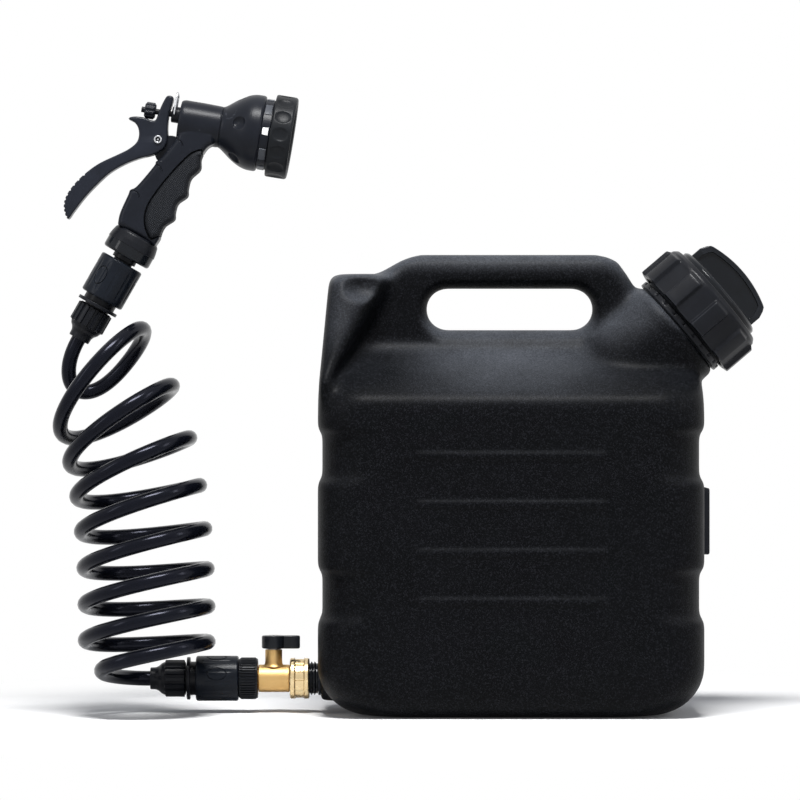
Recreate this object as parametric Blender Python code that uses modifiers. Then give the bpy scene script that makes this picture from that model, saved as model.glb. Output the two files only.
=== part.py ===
"""Portable water tank: a jerry-can style tank with a screw lid, a ball valve, a coiled hose and a spray gun.

Metres, +Z up. The origin is the middle of the tank's flat base. The valve line leaves along -X.
"""
import math

import bmesh
import bpy
from mathutils import Matrix, Vector

for old in list(bpy.data.objects):
    bpy.data.objects.remove(old, do_unlink=True)

mm = 0.001

# Facets round a turned piece
SMALL_COUNT = 12
MIDDLE_COUNT = 16
LARGE_COUNT = 24

# Clearances
FIT = 0.3 * mm
RUN = 0.4 * mm

# Tank
TANK_WIDTH = 305 * mm
TANK_DEPTH = 172 * mm
TANK_HEIGHT = 365.6 * mm
TANK_WALL = 3 * mm
CORNER_ROUND = 36 * mm
BASE_ROUND = 40 * mm
BASE_LIFT = 36 * mm
BASE_TUCK = 24 * mm
SHOULDER_DROP = 113.6 * mm
SHOULDER_FALL = 48 * mm
HANDLE_THICK = 32 * mm
HANDLE_TOP_LENGTH = 146 * mm
GRIP_HEIGHT = 27.2 * mm
OPENING_LENGTH = 132.6 * mm
OPENING_HEIGHT = 32.8 * mm
END_SHOULDER_DROP = 15.6 * mm
END_SHOULDER_LENGTH = 34 * mm
GROOVE_DEPTH = 3.4 * mm
GROOVE_HEIGHT = 32 * mm
GROOVE_EASE = 6 * mm
LOWER_GROOVE = 81 * mm
UPPER_GROOVE = 189.6 * mm
RIB_HEIGHT = 1.6 * mm
RIB_WIDTH = 7 * mm
RIB_LENGTH = 150 * mm
RIB_STEP = 38 * mm
RIB_LOWEST = 92 * mm
PAD_HEIGHT = 53.6 * mm
PAD_WIDTH = 52 * mm
PAD_THICK = 5.6 * mm
PAD_LOW = 126.4 * mm

# Neck and lid
NECK_INSET = 13.1 * mm
NECK_DROP = 53.9 * mm
NECK_LEAN = math.radians(49.5)
NECK_RADIUS = 41.5 * mm
NECK_BORE = 37 * mm
NECK_HEIGHT = 24 * mm
PLATEAU_RADIUS = 44 * mm
PLATEAU_DROP = 6.9 * mm
THREAD_HEIGHT = 1.4 * mm
THREAD_PITCH = 6 * mm
LID_WALL = 3.2 * mm
LID_SKIRT = 29 * mm
LID_TOP = 33.5 * mm
LID_RIBS = 10
LID_RIB_DEPTH = 3 * mm
LID_RIB_WIDTH = 12.5 * mm
CAP_DRUM = 41.5 * mm
CAP_TOP = 38.5 * mm
CAP_WALL = 3 * mm
FIN_LENGTH = 73 * mm
FIN_SIDE = 16.4 * mm
FIN_CROWN = 23.7 * mm
FIN_THICK = 9 * mm
FIN_PANEL = 2.2 * mm
GASKET = 1.8 * mm
TAMPER_HEIGHT = 4.6 * mm
TAMPER_WALL = 3 * mm

# Valve line, all on one axis along -X
LINE_Z = 27 * mm
BOSS_INSET = 1.7 * mm
BOSS_BOTTOM = 10.4 * mm
BOSS_WIDTH = 48 * mm
HOSE_THREAD = 13.4 * mm
SPIGOT_LENGTH = 18.6 * mm
SPIGOT_ROOT = 10.6 * mm
SPIGOT_SEAT = 11 * mm
WATER_BORE = 5.2 * mm
NUT_GAP = 9.2 * mm
NUT_LENGTH = 15.6 * mm
NUT_RADIUS = 16.2 * mm
NUT_WAIST = 14.9 * mm
VALVE_RADIUS = 11 * mm
VALVE_LENGTH = 24.6 * mm
BALL_RADIUS = 7.6 * mm
STEM_RADIUS = 3.2 * mm
TOWER_RADIUS = 6.8 * mm
TOWER_TOP = 50.4 * mm
LEVER_HEIGHT = 10.4 * mm
LEVER_REACH = 21 * mm
LEVER_HUB = 9.6 * mm
LEVER_WIDTH = 9.4 * mm
ADAPTER_RADIUS = 16.5 * mm
ADAPTER_LENGTH = 15.4 * mm

# Quick connector, measured from its mouth towards the hose
SLEEVE_RADIUS = 18 * mm
SLEEVE_LENGTH = 34 * mm
CORE_RADIUS = 13.4 * mm
CORE_FLANGE = 38.6 * mm
FLANGE_RADIUS = 16.5 * mm
FLANGE_THICK = 2.4 * mm
SLEEVE_PULL = 4 * mm
CLAMP_RADIUS = 14.3 * mm
CLAMP_SKIRT = 19.6 * mm
CLAMP_CONE = 8.8 * mm
CLAMP_MOUTH = 8.5 * mm
NIPPLE_RADIUS = 8 * mm
NIPPLE_REACH = 24 * mm
WIRE = 0.55 * mm

# Hose
HOSE_RADIUS = 6 * mm
COIL_RADIUS = 48.85 * mm
COIL_TURNS = 8
POINT_COUNT = 22

# Gun
COIL_REACH = 136.6 * mm
COIL_FRONT = 48 * mm
COIL_RISE = 26.84 * mm
COIL_LIFT = 11.7 * mm
UPPER_REACH = 158.8 * mm
UPPER_RISE = 332.6 * mm
UPPER_LEAN = math.atan2(0.496, 0.868)
COLLAR_GAP = 5 * mm
COLLAR_HEIGHT = 19 * mm
COLLAR_RADIUS = 20 * mm
HANDLE_WIDTH = 28 * mm
BARREL_REACH = 45.4 * mm
BARREL_RISE = 113.6 * mm
BARREL_LEAN = math.atan2(0.987, -0.161)
BARREL_RADIUS = 17 * mm
BARREL_LENGTH = 34.3 * mm
PLUNGER_RISE = 4 * mm
CHAMBER_RADIUS = 8 * mm
ROD_RADIUS = 2.3 * mm
SEAL_RADIUS = 6.6 * mm
SEAT = 19.7 * mm
HEAD_RADIUS = 30.5 * mm
BAND_RADIUS = 28 * mm
BAND_START = 66.7 * mm
DIAL_RADIUS = 33 * mm
DIAL_LENGTH = 17.6 * mm
DIAL_DENTS = 9
FACE = 91.8 * mm
TRIGGER_REACH = 28.8 * mm
TRIGGER_RISE = 98 * mm
TRIGGER_WIDTH = 17 * mm
LUG_WIDTH = 6 * mm
PIN_RADIUS = 2 * mm
KNOB_RADIUS = 6.4 * mm
KNOB_LENGTH = 8.6 * mm
BAIL_WIRE = 0.9 * mm
BAIL_HEIGHT = 17 * mm

parts = bpy.data.collections.new("portable_water_tank")
bpy.context.scene.collection.children.link(parts)
cutters = bpy.data.collections.new("cutters")
bpy.context.scene.collection.children.link(cutters)


def colour(name, hex_code, rough, metal=0.0):
    """A Principled material from an sRGB hex colour."""
    mat = bpy.data.materials.new(name)
    mat.use_nodes = True
    shader = mat.node_tree.nodes["Principled BSDF"]
    raw = [int(hex_code[i:i + 2], 16) / 255 for i in (0, 2, 4)]
    lin = [c / 12.92 if c <= 0.04045 else ((c + 0.055) / 1.055) ** 2.4 for c in raw]
    shader.inputs["Base Color"].default_value = (*lin, 1)
    shader.inputs["Roughness"].default_value = rough
    shader.inputs["Metallic"].default_value = metal
    mat.diffuse_color = (*lin, 1)
    return mat


def own(obj, name, look, parent=None):
    """Name an object, give it its own material and hang it on a parent without moving it."""
    obj.name = name
    obj.data.materials.clear()
    obj.data.materials.append(colour(name, *look))
    for holder in list(obj.users_collection):
        holder.objects.unlink(obj)
    parts.objects.link(obj)
    if parent:
        obj.parent = parent
    return obj


def as_cutter(obj):
    for holder in list(obj.users_collection):
        holder.objects.unlink(obj)
    cutters.objects.link(obj)
    obj.hide_render = True
    obj.display_type = "WIRE"
    return obj


def joint(name, place, lean=0.0, parent=None):
    """An empty on a joint's axis. Its local Z leans from +Z towards +X."""
    empty = bpy.data.objects.new(name, None)
    parts.objects.link(empty)
    empty.parent = parent
    empty.location = place
    empty.rotation_euler = (0, lean, 0)
    return empty


def new_object(name, mesh):
    obj = bpy.data.objects.new(name, mesh)
    bpy.context.scene.collection.objects.link(obj)
    return obj


def turned(profile, steps=32, closed=False):
    """Revolve (radius, height) pairs about Z. They run down the outer side, and back up a bore."""
    mesh = bpy.data.meshes.new("turned")
    count = len(profile)
    edges = [(i, i + 1) for i in range(count - 1)]
    if closed:
        edges.append((count - 1, 0))
    mesh.from_pydata([(r, 0, z) for r, z in profile], edges, [])
    obj = new_object("turned", mesh)
    screw = obj.modifiers.new("Screw", "SCREW")
    screw.steps = steps
    screw.render_steps = steps
    screw.use_merge_vertices = True
    screw.merge_threshold = 0.00001
    screw.use_smooth_shade = True
    return obj


def applied(obj):
    """The evaluated shape as a plain mesh object, welded."""
    graph = bpy.context.evaluated_depsgraph_get()
    graph.update()
    mesh = bpy.data.meshes.new_from_object(obj.evaluated_get(graph))
    bm = bmesh.new()
    bm.from_mesh(mesh)
    bmesh.ops.remove_doubles(bm, verts=bm.verts, dist=0.00001)
    bmesh.ops.recalc_face_normals(bm, faces=bm.faces)
    bm.to_mesh(mesh)
    bm.free()
    made = new_object(obj.name, mesh)
    made.matrix_world = obj.matrix_world
    bpy.data.objects.remove(obj, do_unlink=True)
    return made


def plate(outline, half, across=0.0):
    """An outline in X and Z, thick along Y by half on each side."""
    curve = bpy.data.curves.new("plate", "CURVE")
    curve.dimensions = "2D"
    curve.fill_mode = "BOTH"
    curve.extrude = half
    spline = curve.splines.new("POLY")
    spline.points.add(len(outline) - 1)
    for point, (x, z) in zip(spline.points, outline):
        point.co = (x, z, 0, 1)
    spline.use_cyclic_u = True
    obj = new_object("plate", curve)
    obj.rotation_euler = (math.radians(90), 0, 0)
    obj.location.y = across
    bpy.context.view_layer.update()
    return applied(obj)


def tube(points, radius, sides=1, ring=False):
    """A round bar along points, with its ends closed."""
    curve = bpy.data.curves.new("tube", "CURVE")
    curve.dimensions = "3D"
    curve.bevel_depth = radius
    curve.bevel_resolution = sides
    curve.use_fill_caps = not ring
    spline = curve.splines.new("POLY")
    spline.points.add(len(points) - 1)
    for point, place in zip(spline.points, points):
        point.co = (*place, 1)
    spline.use_cyclic_u = ring
    obj = new_object("tube", curve)
    bpy.context.view_layer.update()
    return applied(obj)


def block(size, place, lean=0.0):
    bpy.ops.mesh.primitive_cube_add(size=1, location=place, rotation=(0, lean, 0))
    obj = bpy.context.object
    obj.scale = size
    bpy.ops.object.transform_apply(location=False, rotation=False, scale=True)
    return obj


def rod(radius, depth, place, turn=(0, 0, 0), sides=SMALL_COUNT):
    bpy.ops.mesh.primitive_cylinder_add(vertices=sides, radius=radius, depth=depth, location=place,
                                        rotation=turn)
    return bpy.context.object


def bevel(obj, width, segments=2, angle=30):
    mod = obj.modifiers.new("Bevel", "BEVEL")
    mod.width = width
    mod.segments = segments
    mod.limit_method = "ANGLE"
    mod.angle_limit = math.radians(angle)
    return obj


def combine(obj, other, how="DIFFERENCE"):
    """Cut or join with another shape, which from then on moves with the object."""
    as_cutter(other)
    other.parent = obj
    other.matrix_parent_inverse = obj.matrix_basis.inverted()
    mod = obj.modifiers.new(how.title(), "BOOLEAN")
    mod.operation = how
    mod.solver = "EXACT"
    mod.object = other
    return obj


def fan(count, make, first=0.0):
    """Copies of a small solid about Z, as one mesh of separate bodies, for a Boolean."""
    bm = bmesh.new()
    for i in range(count):
        before = set(bm.verts)
        make(bm)
        fresh = [v for v in bm.verts if v not in before]
        bmesh.ops.rotate(bm, verts=fresh, cent=(0, 0, 0),
                         matrix=Matrix.Rotation(first + math.tau * i / count, 3, "Z"))
    mesh = bpy.data.meshes.new("fan")
    bm.to_mesh(mesh)
    bm.free()
    return new_object("fan", mesh)


def bar(bm, size, place):
    made = bmesh.ops.create_cube(bm, size=1)["verts"]
    bmesh.ops.scale(bm, verts=made, vec=size)
    bmesh.ops.translate(bm, verts=made, vec=place)


def finish(obj, angle=40):
    """Smooth shading that keeps real edges sharp."""
    if obj.modifiers:
        return obj
    obj.data.shade_smooth()
    obj.data.set_sharp_from_angle(angle=math.radians(angle))
    return obj


# Tank: a loft of rounded sections up Z, hollow, with the handle wall on top

HALF_WIDTH = TANK_WIDTH / 2
HALF_DEPTH = TANK_DEPTH / 2
OPENING_TOP = TANK_HEIGHT - GRIP_HEIGHT
OPENING_LOW = OPENING_TOP - OPENING_HEIGHT
END_SHOULDER = TANK_HEIGHT - END_SHOULDER_DROP
SHOULDER_START = TANK_HEIGHT - SHOULDER_DROP
HANDLE_FOOT = SHOULDER_START + SHOULDER_FALL
BOSS_FACE = BOSS_INSET - HALF_WIDTH
NECK_X = HALF_WIDTH - NECK_INSET
NECK_Z = TANK_HEIGHT - NECK_DROP
HANDLE_END = HANDLE_TOP_LENGTH / 2


def along(z, stations):
    """Read a value between (height, value) pairs."""
    for (z0, v0), (z1, v1) in zip(stations, stations[1:]):
        if z <= z1:
            return v0 + (v1 - v0) * (z - z0) / (z1 - z0)
    return stations[-1][1]


def ease(t):
    t = min(max(t, 0.0), 1.0)
    return t * t * (3 - 2 * t)


def groove(z, low):
    """Depth of a side groove at height z."""
    high = low + GROOVE_HEIGHT
    start = ease((z - low + GROOVE_EASE) / GROOVE_EASE)
    return GROOVE_DEPTH * start * ease((high + GROOVE_EASE - z) / GROOVE_EASE)


def arc_in(z, lift):
    """Share of a base rounding that is still tucked in at height z."""
    return 1 - math.sqrt(max(0.0, 1 - (1 - z / lift) ** 2)) if z < lift else 0.0


def side_edges(z):
    """Left and right edge, half depth and corner radius of the tank at height z."""
    cut = groove(z, LOWER_GROOVE) + groove(z, UPPER_GROOVE)
    left = -along(z, [(0, HALF_WIDTH), (SHOULDER_START, HALF_WIDTH),
                  (END_SHOULDER - 7 * mm, HALF_WIDTH - 7.7 * mm),
                      (END_SHOULDER - 2 * mm, HALF_WIDTH - 10 * mm), (END_SHOULDER, HALF_WIDTH - 15 * mm),
                      (END_SHOULDER + 0.2 * mm, HALF_WIDTH - 15 * mm - END_SHOULDER_LENGTH + 4 * mm),
                      (TANK_HEIGHT - 11 * mm, HANDLE_END + 24.6 * mm), (TANK_HEIGHT - 2.4 * mm,
                              HANDLE_END + 9 * mm),
                      (TANK_HEIGHT, HANDLE_END)])
    right = along(z, [(0, HALF_WIDTH), (SHOULDER_START + 16 * mm, HALF_WIDTH),
                  (END_SHOULDER - 7 * mm, HALF_WIDTH - 54.5 * mm),
                      (TANK_HEIGHT - 5.6 * mm, HALF_WIDTH - 66.5 * mm), (TANK_HEIGHT - 1.6 * mm,
                              HANDLE_END + 5 * mm),
                      (TANK_HEIGHT, HANDLE_END)])
    rise = ease((z - SHOULDER_START) / (HANDLE_FOOT - SHOULDER_START))
    half = HALF_DEPTH + (HANDLE_THICK / 2 - HALF_DEPTH) * rise
    crown = TANK_HEIGHT - 13 * mm
    if z > crown:
        t = (z - crown) / (13 * mm)
        half -= (HANDLE_THICK / 2 - 5 * mm) * (1 - math.sqrt(max(0.0, 1 - t * t)))
    tuck = arc_in(z, BASE_LIFT)
    left += cut + BASE_ROUND * tuck
    right -= cut + BASE_ROUND * tuck
    half -= BASE_TUCK * tuck
    corner = min(CORNER_ROUND + 3 * cut, half - 1 * mm)
    return left, right, half, corner


def heights(outer):
    """Heights of the loft's sections, closer where the form turns, fewer for the hollow."""
    out = [0.0]
    out += [BASE_LIFT * (1 - math.cos(math.radians(a))) for a in ((20, 40, 65, 90) if outer else (30, 60,
            90))]
    for low in (LOWER_GROOVE, UPPER_GROOVE):
        high = low + GROOVE_HEIGHT
        out += [low - GROOVE_EASE, low, high, high + GROOVE_EASE]
    rise = HANDLE_FOOT - SHOULDER_START
    count = 6 if outer else 4
    out += [SHOULDER_START + rise * k / count for k in range(count + 1)]
    out += [END_SHOULDER - 7 * mm, END_SHOULDER - 2 * mm, END_SHOULDER, END_SHOULDER + 0.2 * mm]
    out += [TANK_HEIGHT - d * mm for d in ((11, 8, 5, 2.4, 0) if outer else (11, 5, 0))]
    return sorted(out)


def tank_form(inset):
    """The tank's outer form, or its hollow when inset by the wall."""
    bm = bmesh.new()
    rows = []
    quarter = 4 if inset == 0 else 3
    for z in heights(inset == 0):
        left, right, half, corner = side_edges(z)
        left += inset
        right -= inset
        half -= inset
        corner = max(corner - inset, 1.5 * mm)
        row = []
        for cx, cy, start in ((right - corner, half - corner, 0), (left + corner, half - corner, 90),
                              (left + corner, corner - half, 180), (right - corner, corner - half, 270)):
            for k in range(quarter):
                a = math.radians(start + 90 * k / (quarter - 1))
                row.append(bm.verts.new((cx + corner * math.cos(a), cy + corner * math.sin(a),
                                         inset + z * (1 - 2 * inset / TANK_HEIGHT))))
        rows.append(row)
    for lower, upper in zip(rows, rows[1:]):
        for k in range(len(lower)):
            n = (k + 1) % len(lower)
            bm.faces.new((lower[k], lower[n], upper[n], upper[k]))
    bm.faces.new(rows[0][::-1])
    bm.faces.new(rows[-1])
    mesh = bpy.data.meshes.new("tank_form")
    bm.to_mesh(mesh)
    bm.free()
    return new_object("tank_form", mesh)


def stadium(length, height, low, grow):
    """Outline of the hand opening in X and Z, grown all round."""
    radius = height / 2 + grow
    middle = low + height / 2
    reach = length / 2 - height / 2
    out = []
    for side, start in ((1, -90), (-1, 90)):
        for k in range(9):
            a = math.radians(start + 22.5 * k)
            out.append((side * reach + radius * math.cos(a), middle + radius * math.sin(a)))
    return out


neck = joint("neck_frame", (NECK_X, 0, NECK_Z), NECK_LEAN)
bpy.context.view_layer.update()

tank = tank_form(0)
plateau = turned([(0, -PLATEAU_DROP), (PLATEAU_RADIUS - 2 * mm, -PLATEAU_DROP),
                  (PLATEAU_RADIUS, -PLATEAU_DROP - 2 * mm), (PLATEAU_RADIUS, -30 * mm), (0,
                          -62 * mm)], LARGE_COUNT)
plateau.matrix_world = neck.matrix_world
combine(tank, plateau, "UNION")
boss = block((60 * mm, BOSS_WIDTH, 2 * (LINE_Z - BOSS_BOTTOM)), (BOSS_FACE + 30 * mm, 0, LINE_Z))
bevel(boss, 3 * mm)
combine(tank, boss, "UNION")
combine(tank, tank_form(TANK_WALL))
tank_hollow = tank.modifiers[-1].object
core_depth = SPIGOT_SEAT + TANK_WALL
combine(tank, block((core_depth, BOSS_WIDTH - 4 * mm, 2 * (LINE_Z - BOSS_BOTTOM - 1 * mm)),
                    (BOSS_FACE + 1 * mm + core_depth / 2, 0, LINE_Z)), "UNION")
recess = rod(HOSE_THREAD + 1 * mm, 20 * mm, (BOSS_FACE - 10 * mm, 0, LINE_Z), (0, math.radians(90), 0))
combine(tank, recess)
combine(tank_hollow, plate(stadium(OPENING_LENGTH, OPENING_HEIGHT, OPENING_LOW, TANK_WALL), TANK_DEPTH))
combine(tank, plate(stadium(OPENING_LENGTH, OPENING_HEIGHT, OPENING_LOW, 0), TANK_DEPTH))
collar = turned([(0, NECK_HEIGHT), (NECK_RADIUS, NECK_HEIGHT), (NECK_RADIUS, -PLATEAU_DROP - 2 * mm),
                 (0, -PLATEAU_DROP - 2 * mm)], LARGE_COUNT)
collar.matrix_world = neck.matrix_world
combine(tank, collar, "UNION")
turns = []
for k in range(16):
    a = math.tau * k / 12
    turns.append(((NECK_RADIUS - 0.1 * mm) * math.cos(a), (NECK_RADIUS - 0.1 * mm) * math.sin(a),
                  5 * mm + THREAD_PITCH * k / 12))
thread = tube(turns, THREAD_HEIGHT, 0)
thread.matrix_world = neck.matrix_world
combine(tank, thread, "UNION")
throat = turned([(0, NECK_HEIGHT + 5 * mm), (NECK_BORE, NECK_HEIGHT + 5 * mm), (NECK_BORE, -26 * mm),
                (0, -26 * mm)], LARGE_COUNT)
throat.matrix_world = neck.matrix_world
combine(tank, throat)
pipe_depth = SPIGOT_SEAT + FIT
pipe = rod(SPIGOT_ROOT + FIT, pipe_depth + 2 * mm, (BOSS_FACE + pipe_depth / 2 - 1 * mm, 0, LINE_Z),
           (0, math.radians(90), 0), MIDDLE_COUNT)
combine(tank, pipe)
drain = rod(WATER_BORE + 1 * mm, 60 * mm, (BOSS_FACE + 36 * mm, 0, LINE_Z), (0, math.radians(90), 0))
combine(tank, drain)
for side in (-1, 1):
    for row in range(4):
        combine(tank, block((RIB_LENGTH, 2 * RIB_HEIGHT, RIB_WIDTH),
                (0, side * HALF_DEPTH, RIB_LOWEST + RIB_STEP * row)),
                "UNION")
own(tank, "tank_shell", ("141519", 0.5))

pad = block((PAD_THICK, PAD_WIDTH, PAD_HEIGHT), (HALF_WIDTH + FIT + PAD_THICK / 2, 0,
            PAD_LOW + PAD_HEIGHT / 2))
own(bevel(pad, 0.8 * mm), "side_pad", ("101114", 0.6))

# Lid: a ribbed ring that screws on the neck and clamps a cap with a grip fin

LID_BORE = NECK_RADIUS + THREAD_HEIGHT + 1.4 * mm
LID_RADIUS = LID_BORE + LID_WALL
RIM = NECK_HEIGHT + FIT + GASKET + FIT
CAP_FLANGE = LID_BORE - RUN
cap_lift = joint("cap_lift", (0, 0, 0), 0, neck)
lid_turn = joint("lid_turn", (0, 0, 0), 0, cap_lift)

ring = turned([(CAP_DRUM + RUN, LID_TOP), (LID_RADIUS - 2.5 * mm, LID_TOP), (LID_RADIUS, LID_SKIRT + 1 * mm),
               (LID_RADIUS, 0), (LID_BORE, 0), (LID_BORE, RIM + CAP_WALL + FIT),
               (CAP_DRUM + RUN, RIM + CAP_WALL + FIT)], LARGE_COUNT, True)


def lid_rib(bm):
    deep = LID_RIB_DEPTH + 1 * mm
    bar(bm, (deep, LID_RIB_WIDTH, LID_SKIRT - 1 * mm), (LID_RADIUS + LID_RIB_DEPTH - deep / 2, 0,
        LID_SKIRT / 2))


ribs = fan(LID_RIBS, lid_rib, math.radians(-7 - 90))
bevel(ribs, 1.8 * mm, 1)
combine(ring, ribs, "UNION")
own(ring, "lid_ring", ("17181c", 0.42), lid_turn)

cap = turned([(0, CAP_TOP), (CAP_DRUM - 2 * mm, CAP_TOP), (CAP_DRUM, CAP_TOP - 2 * mm),
             (CAP_DRUM, RIM + CAP_WALL),
              (CAP_FLANGE, RIM + CAP_WALL), (CAP_FLANGE, RIM), (NECK_BORE - 2 * mm, RIM),
              (NECK_BORE - 2 * mm, CAP_TOP - CAP_WALL), (0, CAP_TOP - CAP_WALL)], LARGE_COUNT)
fin_outline = [(-FIN_LENGTH / 2, CAP_TOP - 1 * mm), (FIN_LENGTH / 2, CAP_TOP - 1 * mm)]
for k in range(11):
    t = 1 - 2 * k / 10
    fin_outline.append((t * FIN_LENGTH / 2, CAP_TOP + FIN_SIDE + (FIN_CROWN - FIN_SIDE) * (1 - t * t)))
fin = plate(fin_outline, FIN_THICK / 2)
bevel(fin, 1.2 * mm, 1)
combine(cap, fin, "UNION")
for side in (-1, 1):
    inner = [(x * 0.86, CAP_TOP + 2.5 * mm + (z - CAP_TOP - 2.5 * mm) * 0.82) for x, z in fin_outline[2:]]
    inner += [(-FIN_LENGTH * 0.43, CAP_TOP + 2.5 * mm), (FIN_LENGTH * 0.43, CAP_TOP + 2.5 * mm)]
    panel = plate(inner, FIN_PANEL, side * (FIN_THICK / 2))
    combine(cap, panel)
own(cap, "lid_cap", ("0f1013", 0.25), cap_lift)

gasket = turned([(NECK_BORE + 0.5 * mm, RIM - FIT), (NECK_RADIUS, RIM - FIT),
                (NECK_RADIUS, NECK_HEIGHT + FIT),
                 (NECK_BORE + 0.5 * mm, NECK_HEIGHT + FIT)], LARGE_COUNT, True)
own(gasket, "lid_gasket", ("2a2a2c", 0.8), cap_lift)

tamper_low = -PLATEAU_DROP + FIT
tamper = turned([(NECK_RADIUS + RUN, tamper_low + TAMPER_HEIGHT),
                 (NECK_RADIUS + TAMPER_WALL, tamper_low + TAMPER_HEIGHT), (NECK_RADIUS + TAMPER_WALL,
                         tamper_low),
                 (NECK_RADIUS + RUN, tamper_low)], LARGE_COUNT, True)


def notch(bm):
    bar(bm, (3 * mm, 5 * mm, 2.4 * mm), (NECK_RADIUS + TAMPER_WALL, 0, tamper_low + TAMPER_HEIGHT))


combine(tamper, fan(8, notch))
own(tamper, "neck_ring", ("121316", 0.5), neck)

# Valve line. Each piece is turned about the line, with local Z towards the hose

line = joint("valve_line", (BOSS_FACE, 0, LINE_Z), math.radians(-90))
NUT_NEAR = NUT_GAP
NUT_FAR = NUT_NEAR + NUT_LENGTH
WASHER = 1.8 * mm
TAIL_FACE = SPIGOT_LENGTH + FIT + WASHER + FIT

spigot_profile = [(WATER_BORE + 1 * mm, SPIGOT_LENGTH), (HOSE_THREAD - 1 * mm, SPIGOT_LENGTH)]
for k in range(3):
    top = SPIGOT_LENGTH - 1 * mm - 3.6 * mm * k
    spigot_profile += [(HOSE_THREAD, top), (HOSE_THREAD - 1.1 * mm, top - 1.8 * mm)]
spigot_profile += [(HOSE_THREAD - 1.1 * mm, GASKET + 2 * FIT), (SPIGOT_ROOT, GASKET + 2 * FIT),
                   (SPIGOT_ROOT, -SPIGOT_SEAT), (WATER_BORE + 1 * mm, -SPIGOT_SEAT)]
spigot = turned(spigot_profile, MIDDLE_COUNT, True)
own(spigot, "spigot", ("111215", 0.45), line)
seal = turned([(SPIGOT_ROOT + RUN, GASKET + FIT), (HOSE_THREAD, GASKET + FIT), (HOSE_THREAD, FIT),
               (SPIGOT_ROOT + RUN, FIT)], SMALL_COUNT, True)
own(seal, "spigot_gasket", ("232325", 0.8), line)
washer = turned([(WATER_BORE, SPIGOT_LENGTH + FIT + WASHER), (HOSE_THREAD - 0.6 * mm,
                SPIGOT_LENGTH + FIT + WASHER),
                 (HOSE_THREAD - 0.6 * mm, SPIGOT_LENGTH + FIT), (WATER_BORE,
                         SPIGOT_LENGTH + FIT)], SMALL_COUNT, True)
own(washer, "hose_washer", ("1d1d1f", 0.8), line)

TAIL = 9.7 * mm
swivel = joint("swivel_turn", (0, 0, 0), 0, line)
nut_bore = HOSE_THREAD + RUN
nut = turned([(TAIL + RUN, NUT_FAR), (NUT_RADIUS - 0.6 * mm, NUT_FAR), (NUT_RADIUS, NUT_FAR - 0.6 * mm),
              (NUT_RADIUS, NUT_FAR - 4.2 * mm), (NUT_WAIST, NUT_FAR - 4.8 * mm), (NUT_WAIST,
                      NUT_NEAR + 4.8 * mm),
              (NUT_RADIUS, NUT_NEAR + 4.2 * mm), (NUT_RADIUS, NUT_NEAR + 0.6 * mm), (NUT_RADIUS - 0.6 * mm,
                      NUT_NEAR),
              (nut_bore, NUT_NEAR), (nut_bore, TAIL_FACE + 1.6 * mm + FIT),
              (TAIL + RUN, TAIL_FACE + 1.6 * mm + FIT)], MIDDLE_COUNT, True)


def lug(bm):
    bar(bm, (NUT_RADIUS - NUT_WAIST + 1 * mm, 5 * mm, 7 * mm),
        ((NUT_RADIUS + NUT_WAIST - 1 * mm) / 2, 0, (NUT_NEAR + NUT_FAR) / 2))


combine(nut, fan(6, lug), "UNION")
own(nut, "swivel_nut", ("c9a256", 0.28, 1.0), swivel)

VALVE_NEAR = NUT_FAR + RUN
VALVE_FAR = VALVE_NEAR + VALVE_LENGTH
BALL = VALVE_NEAR + 12.6 * mm
CHAMBER = BALL_RADIUS + 0.8 * mm
SEAT_NEAR = 5.75 * mm
SEAT_THICK = 2.4 * mm
pocket_near = BALL - SEAT_NEAR - SEAT_THICK - FIT
body = turned([(CHAMBER, VALVE_FAR), (VALVE_RADIUS - 0.5 * mm, VALVE_FAR),
              (VALVE_RADIUS, VALVE_FAR - 0.5 * mm),
               (VALVE_RADIUS, VALVE_NEAR + 0.5 * mm), (VALVE_RADIUS - 0.5 * mm, VALVE_NEAR), (TAIL,
                       VALVE_NEAR),
               (TAIL, TAIL_FACE + 1.6 * mm), (HOSE_THREAD - 0.6 * mm, TAIL_FACE + 1.6 * mm),
               (HOSE_THREAD - 0.6 * mm, TAIL_FACE), (WATER_BORE, TAIL_FACE), (WATER_BORE, pocket_near),
               (CHAMBER, pocket_near)], MIDDLE_COUNT, True)
tower_foot = VALVE_RADIUS - 4 * mm
TOWER_RISE = TOWER_TOP - LINE_Z
combine(body, rod(TOWER_RADIUS, TOWER_RISE - tower_foot, ((TOWER_RISE + tower_foot) / 2, 0, BALL),
                  (0, math.radians(90), 0)), "UNION")
stem_hole = rod(STEM_RADIUS + FIT, 40 * mm, (24 * mm, 0, BALL), (0, math.radians(90), 0))
combine(body, stem_hole)
hollow = turned([(0, VALVE_FAR + 1 * mm), (CHAMBER, VALVE_FAR + 1 * mm), (CHAMBER, pocket_near),
                (0, pocket_near)], MIDDLE_COUNT)
combine(body, hollow)
own(body, "valve_body", ("c39a4b", 0.3, 1.0), line)

for name, sign in (("near_seat", -1), ("far_seat", 1)):
    a = BALL + sign * SEAT_NEAR
    b = BALL + sign * (SEAT_NEAR + SEAT_THICK)
    seat = turned([(WATER_BORE, max(a, b)), (CHAMBER - FIT, max(a, b)), (CHAMBER - FIT, min(a, b)),
                   (WATER_BORE, min(a, b))], SMALL_COUNT, True)
    own(seat, name, ("e8e8e4", 0.5), line)

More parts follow.
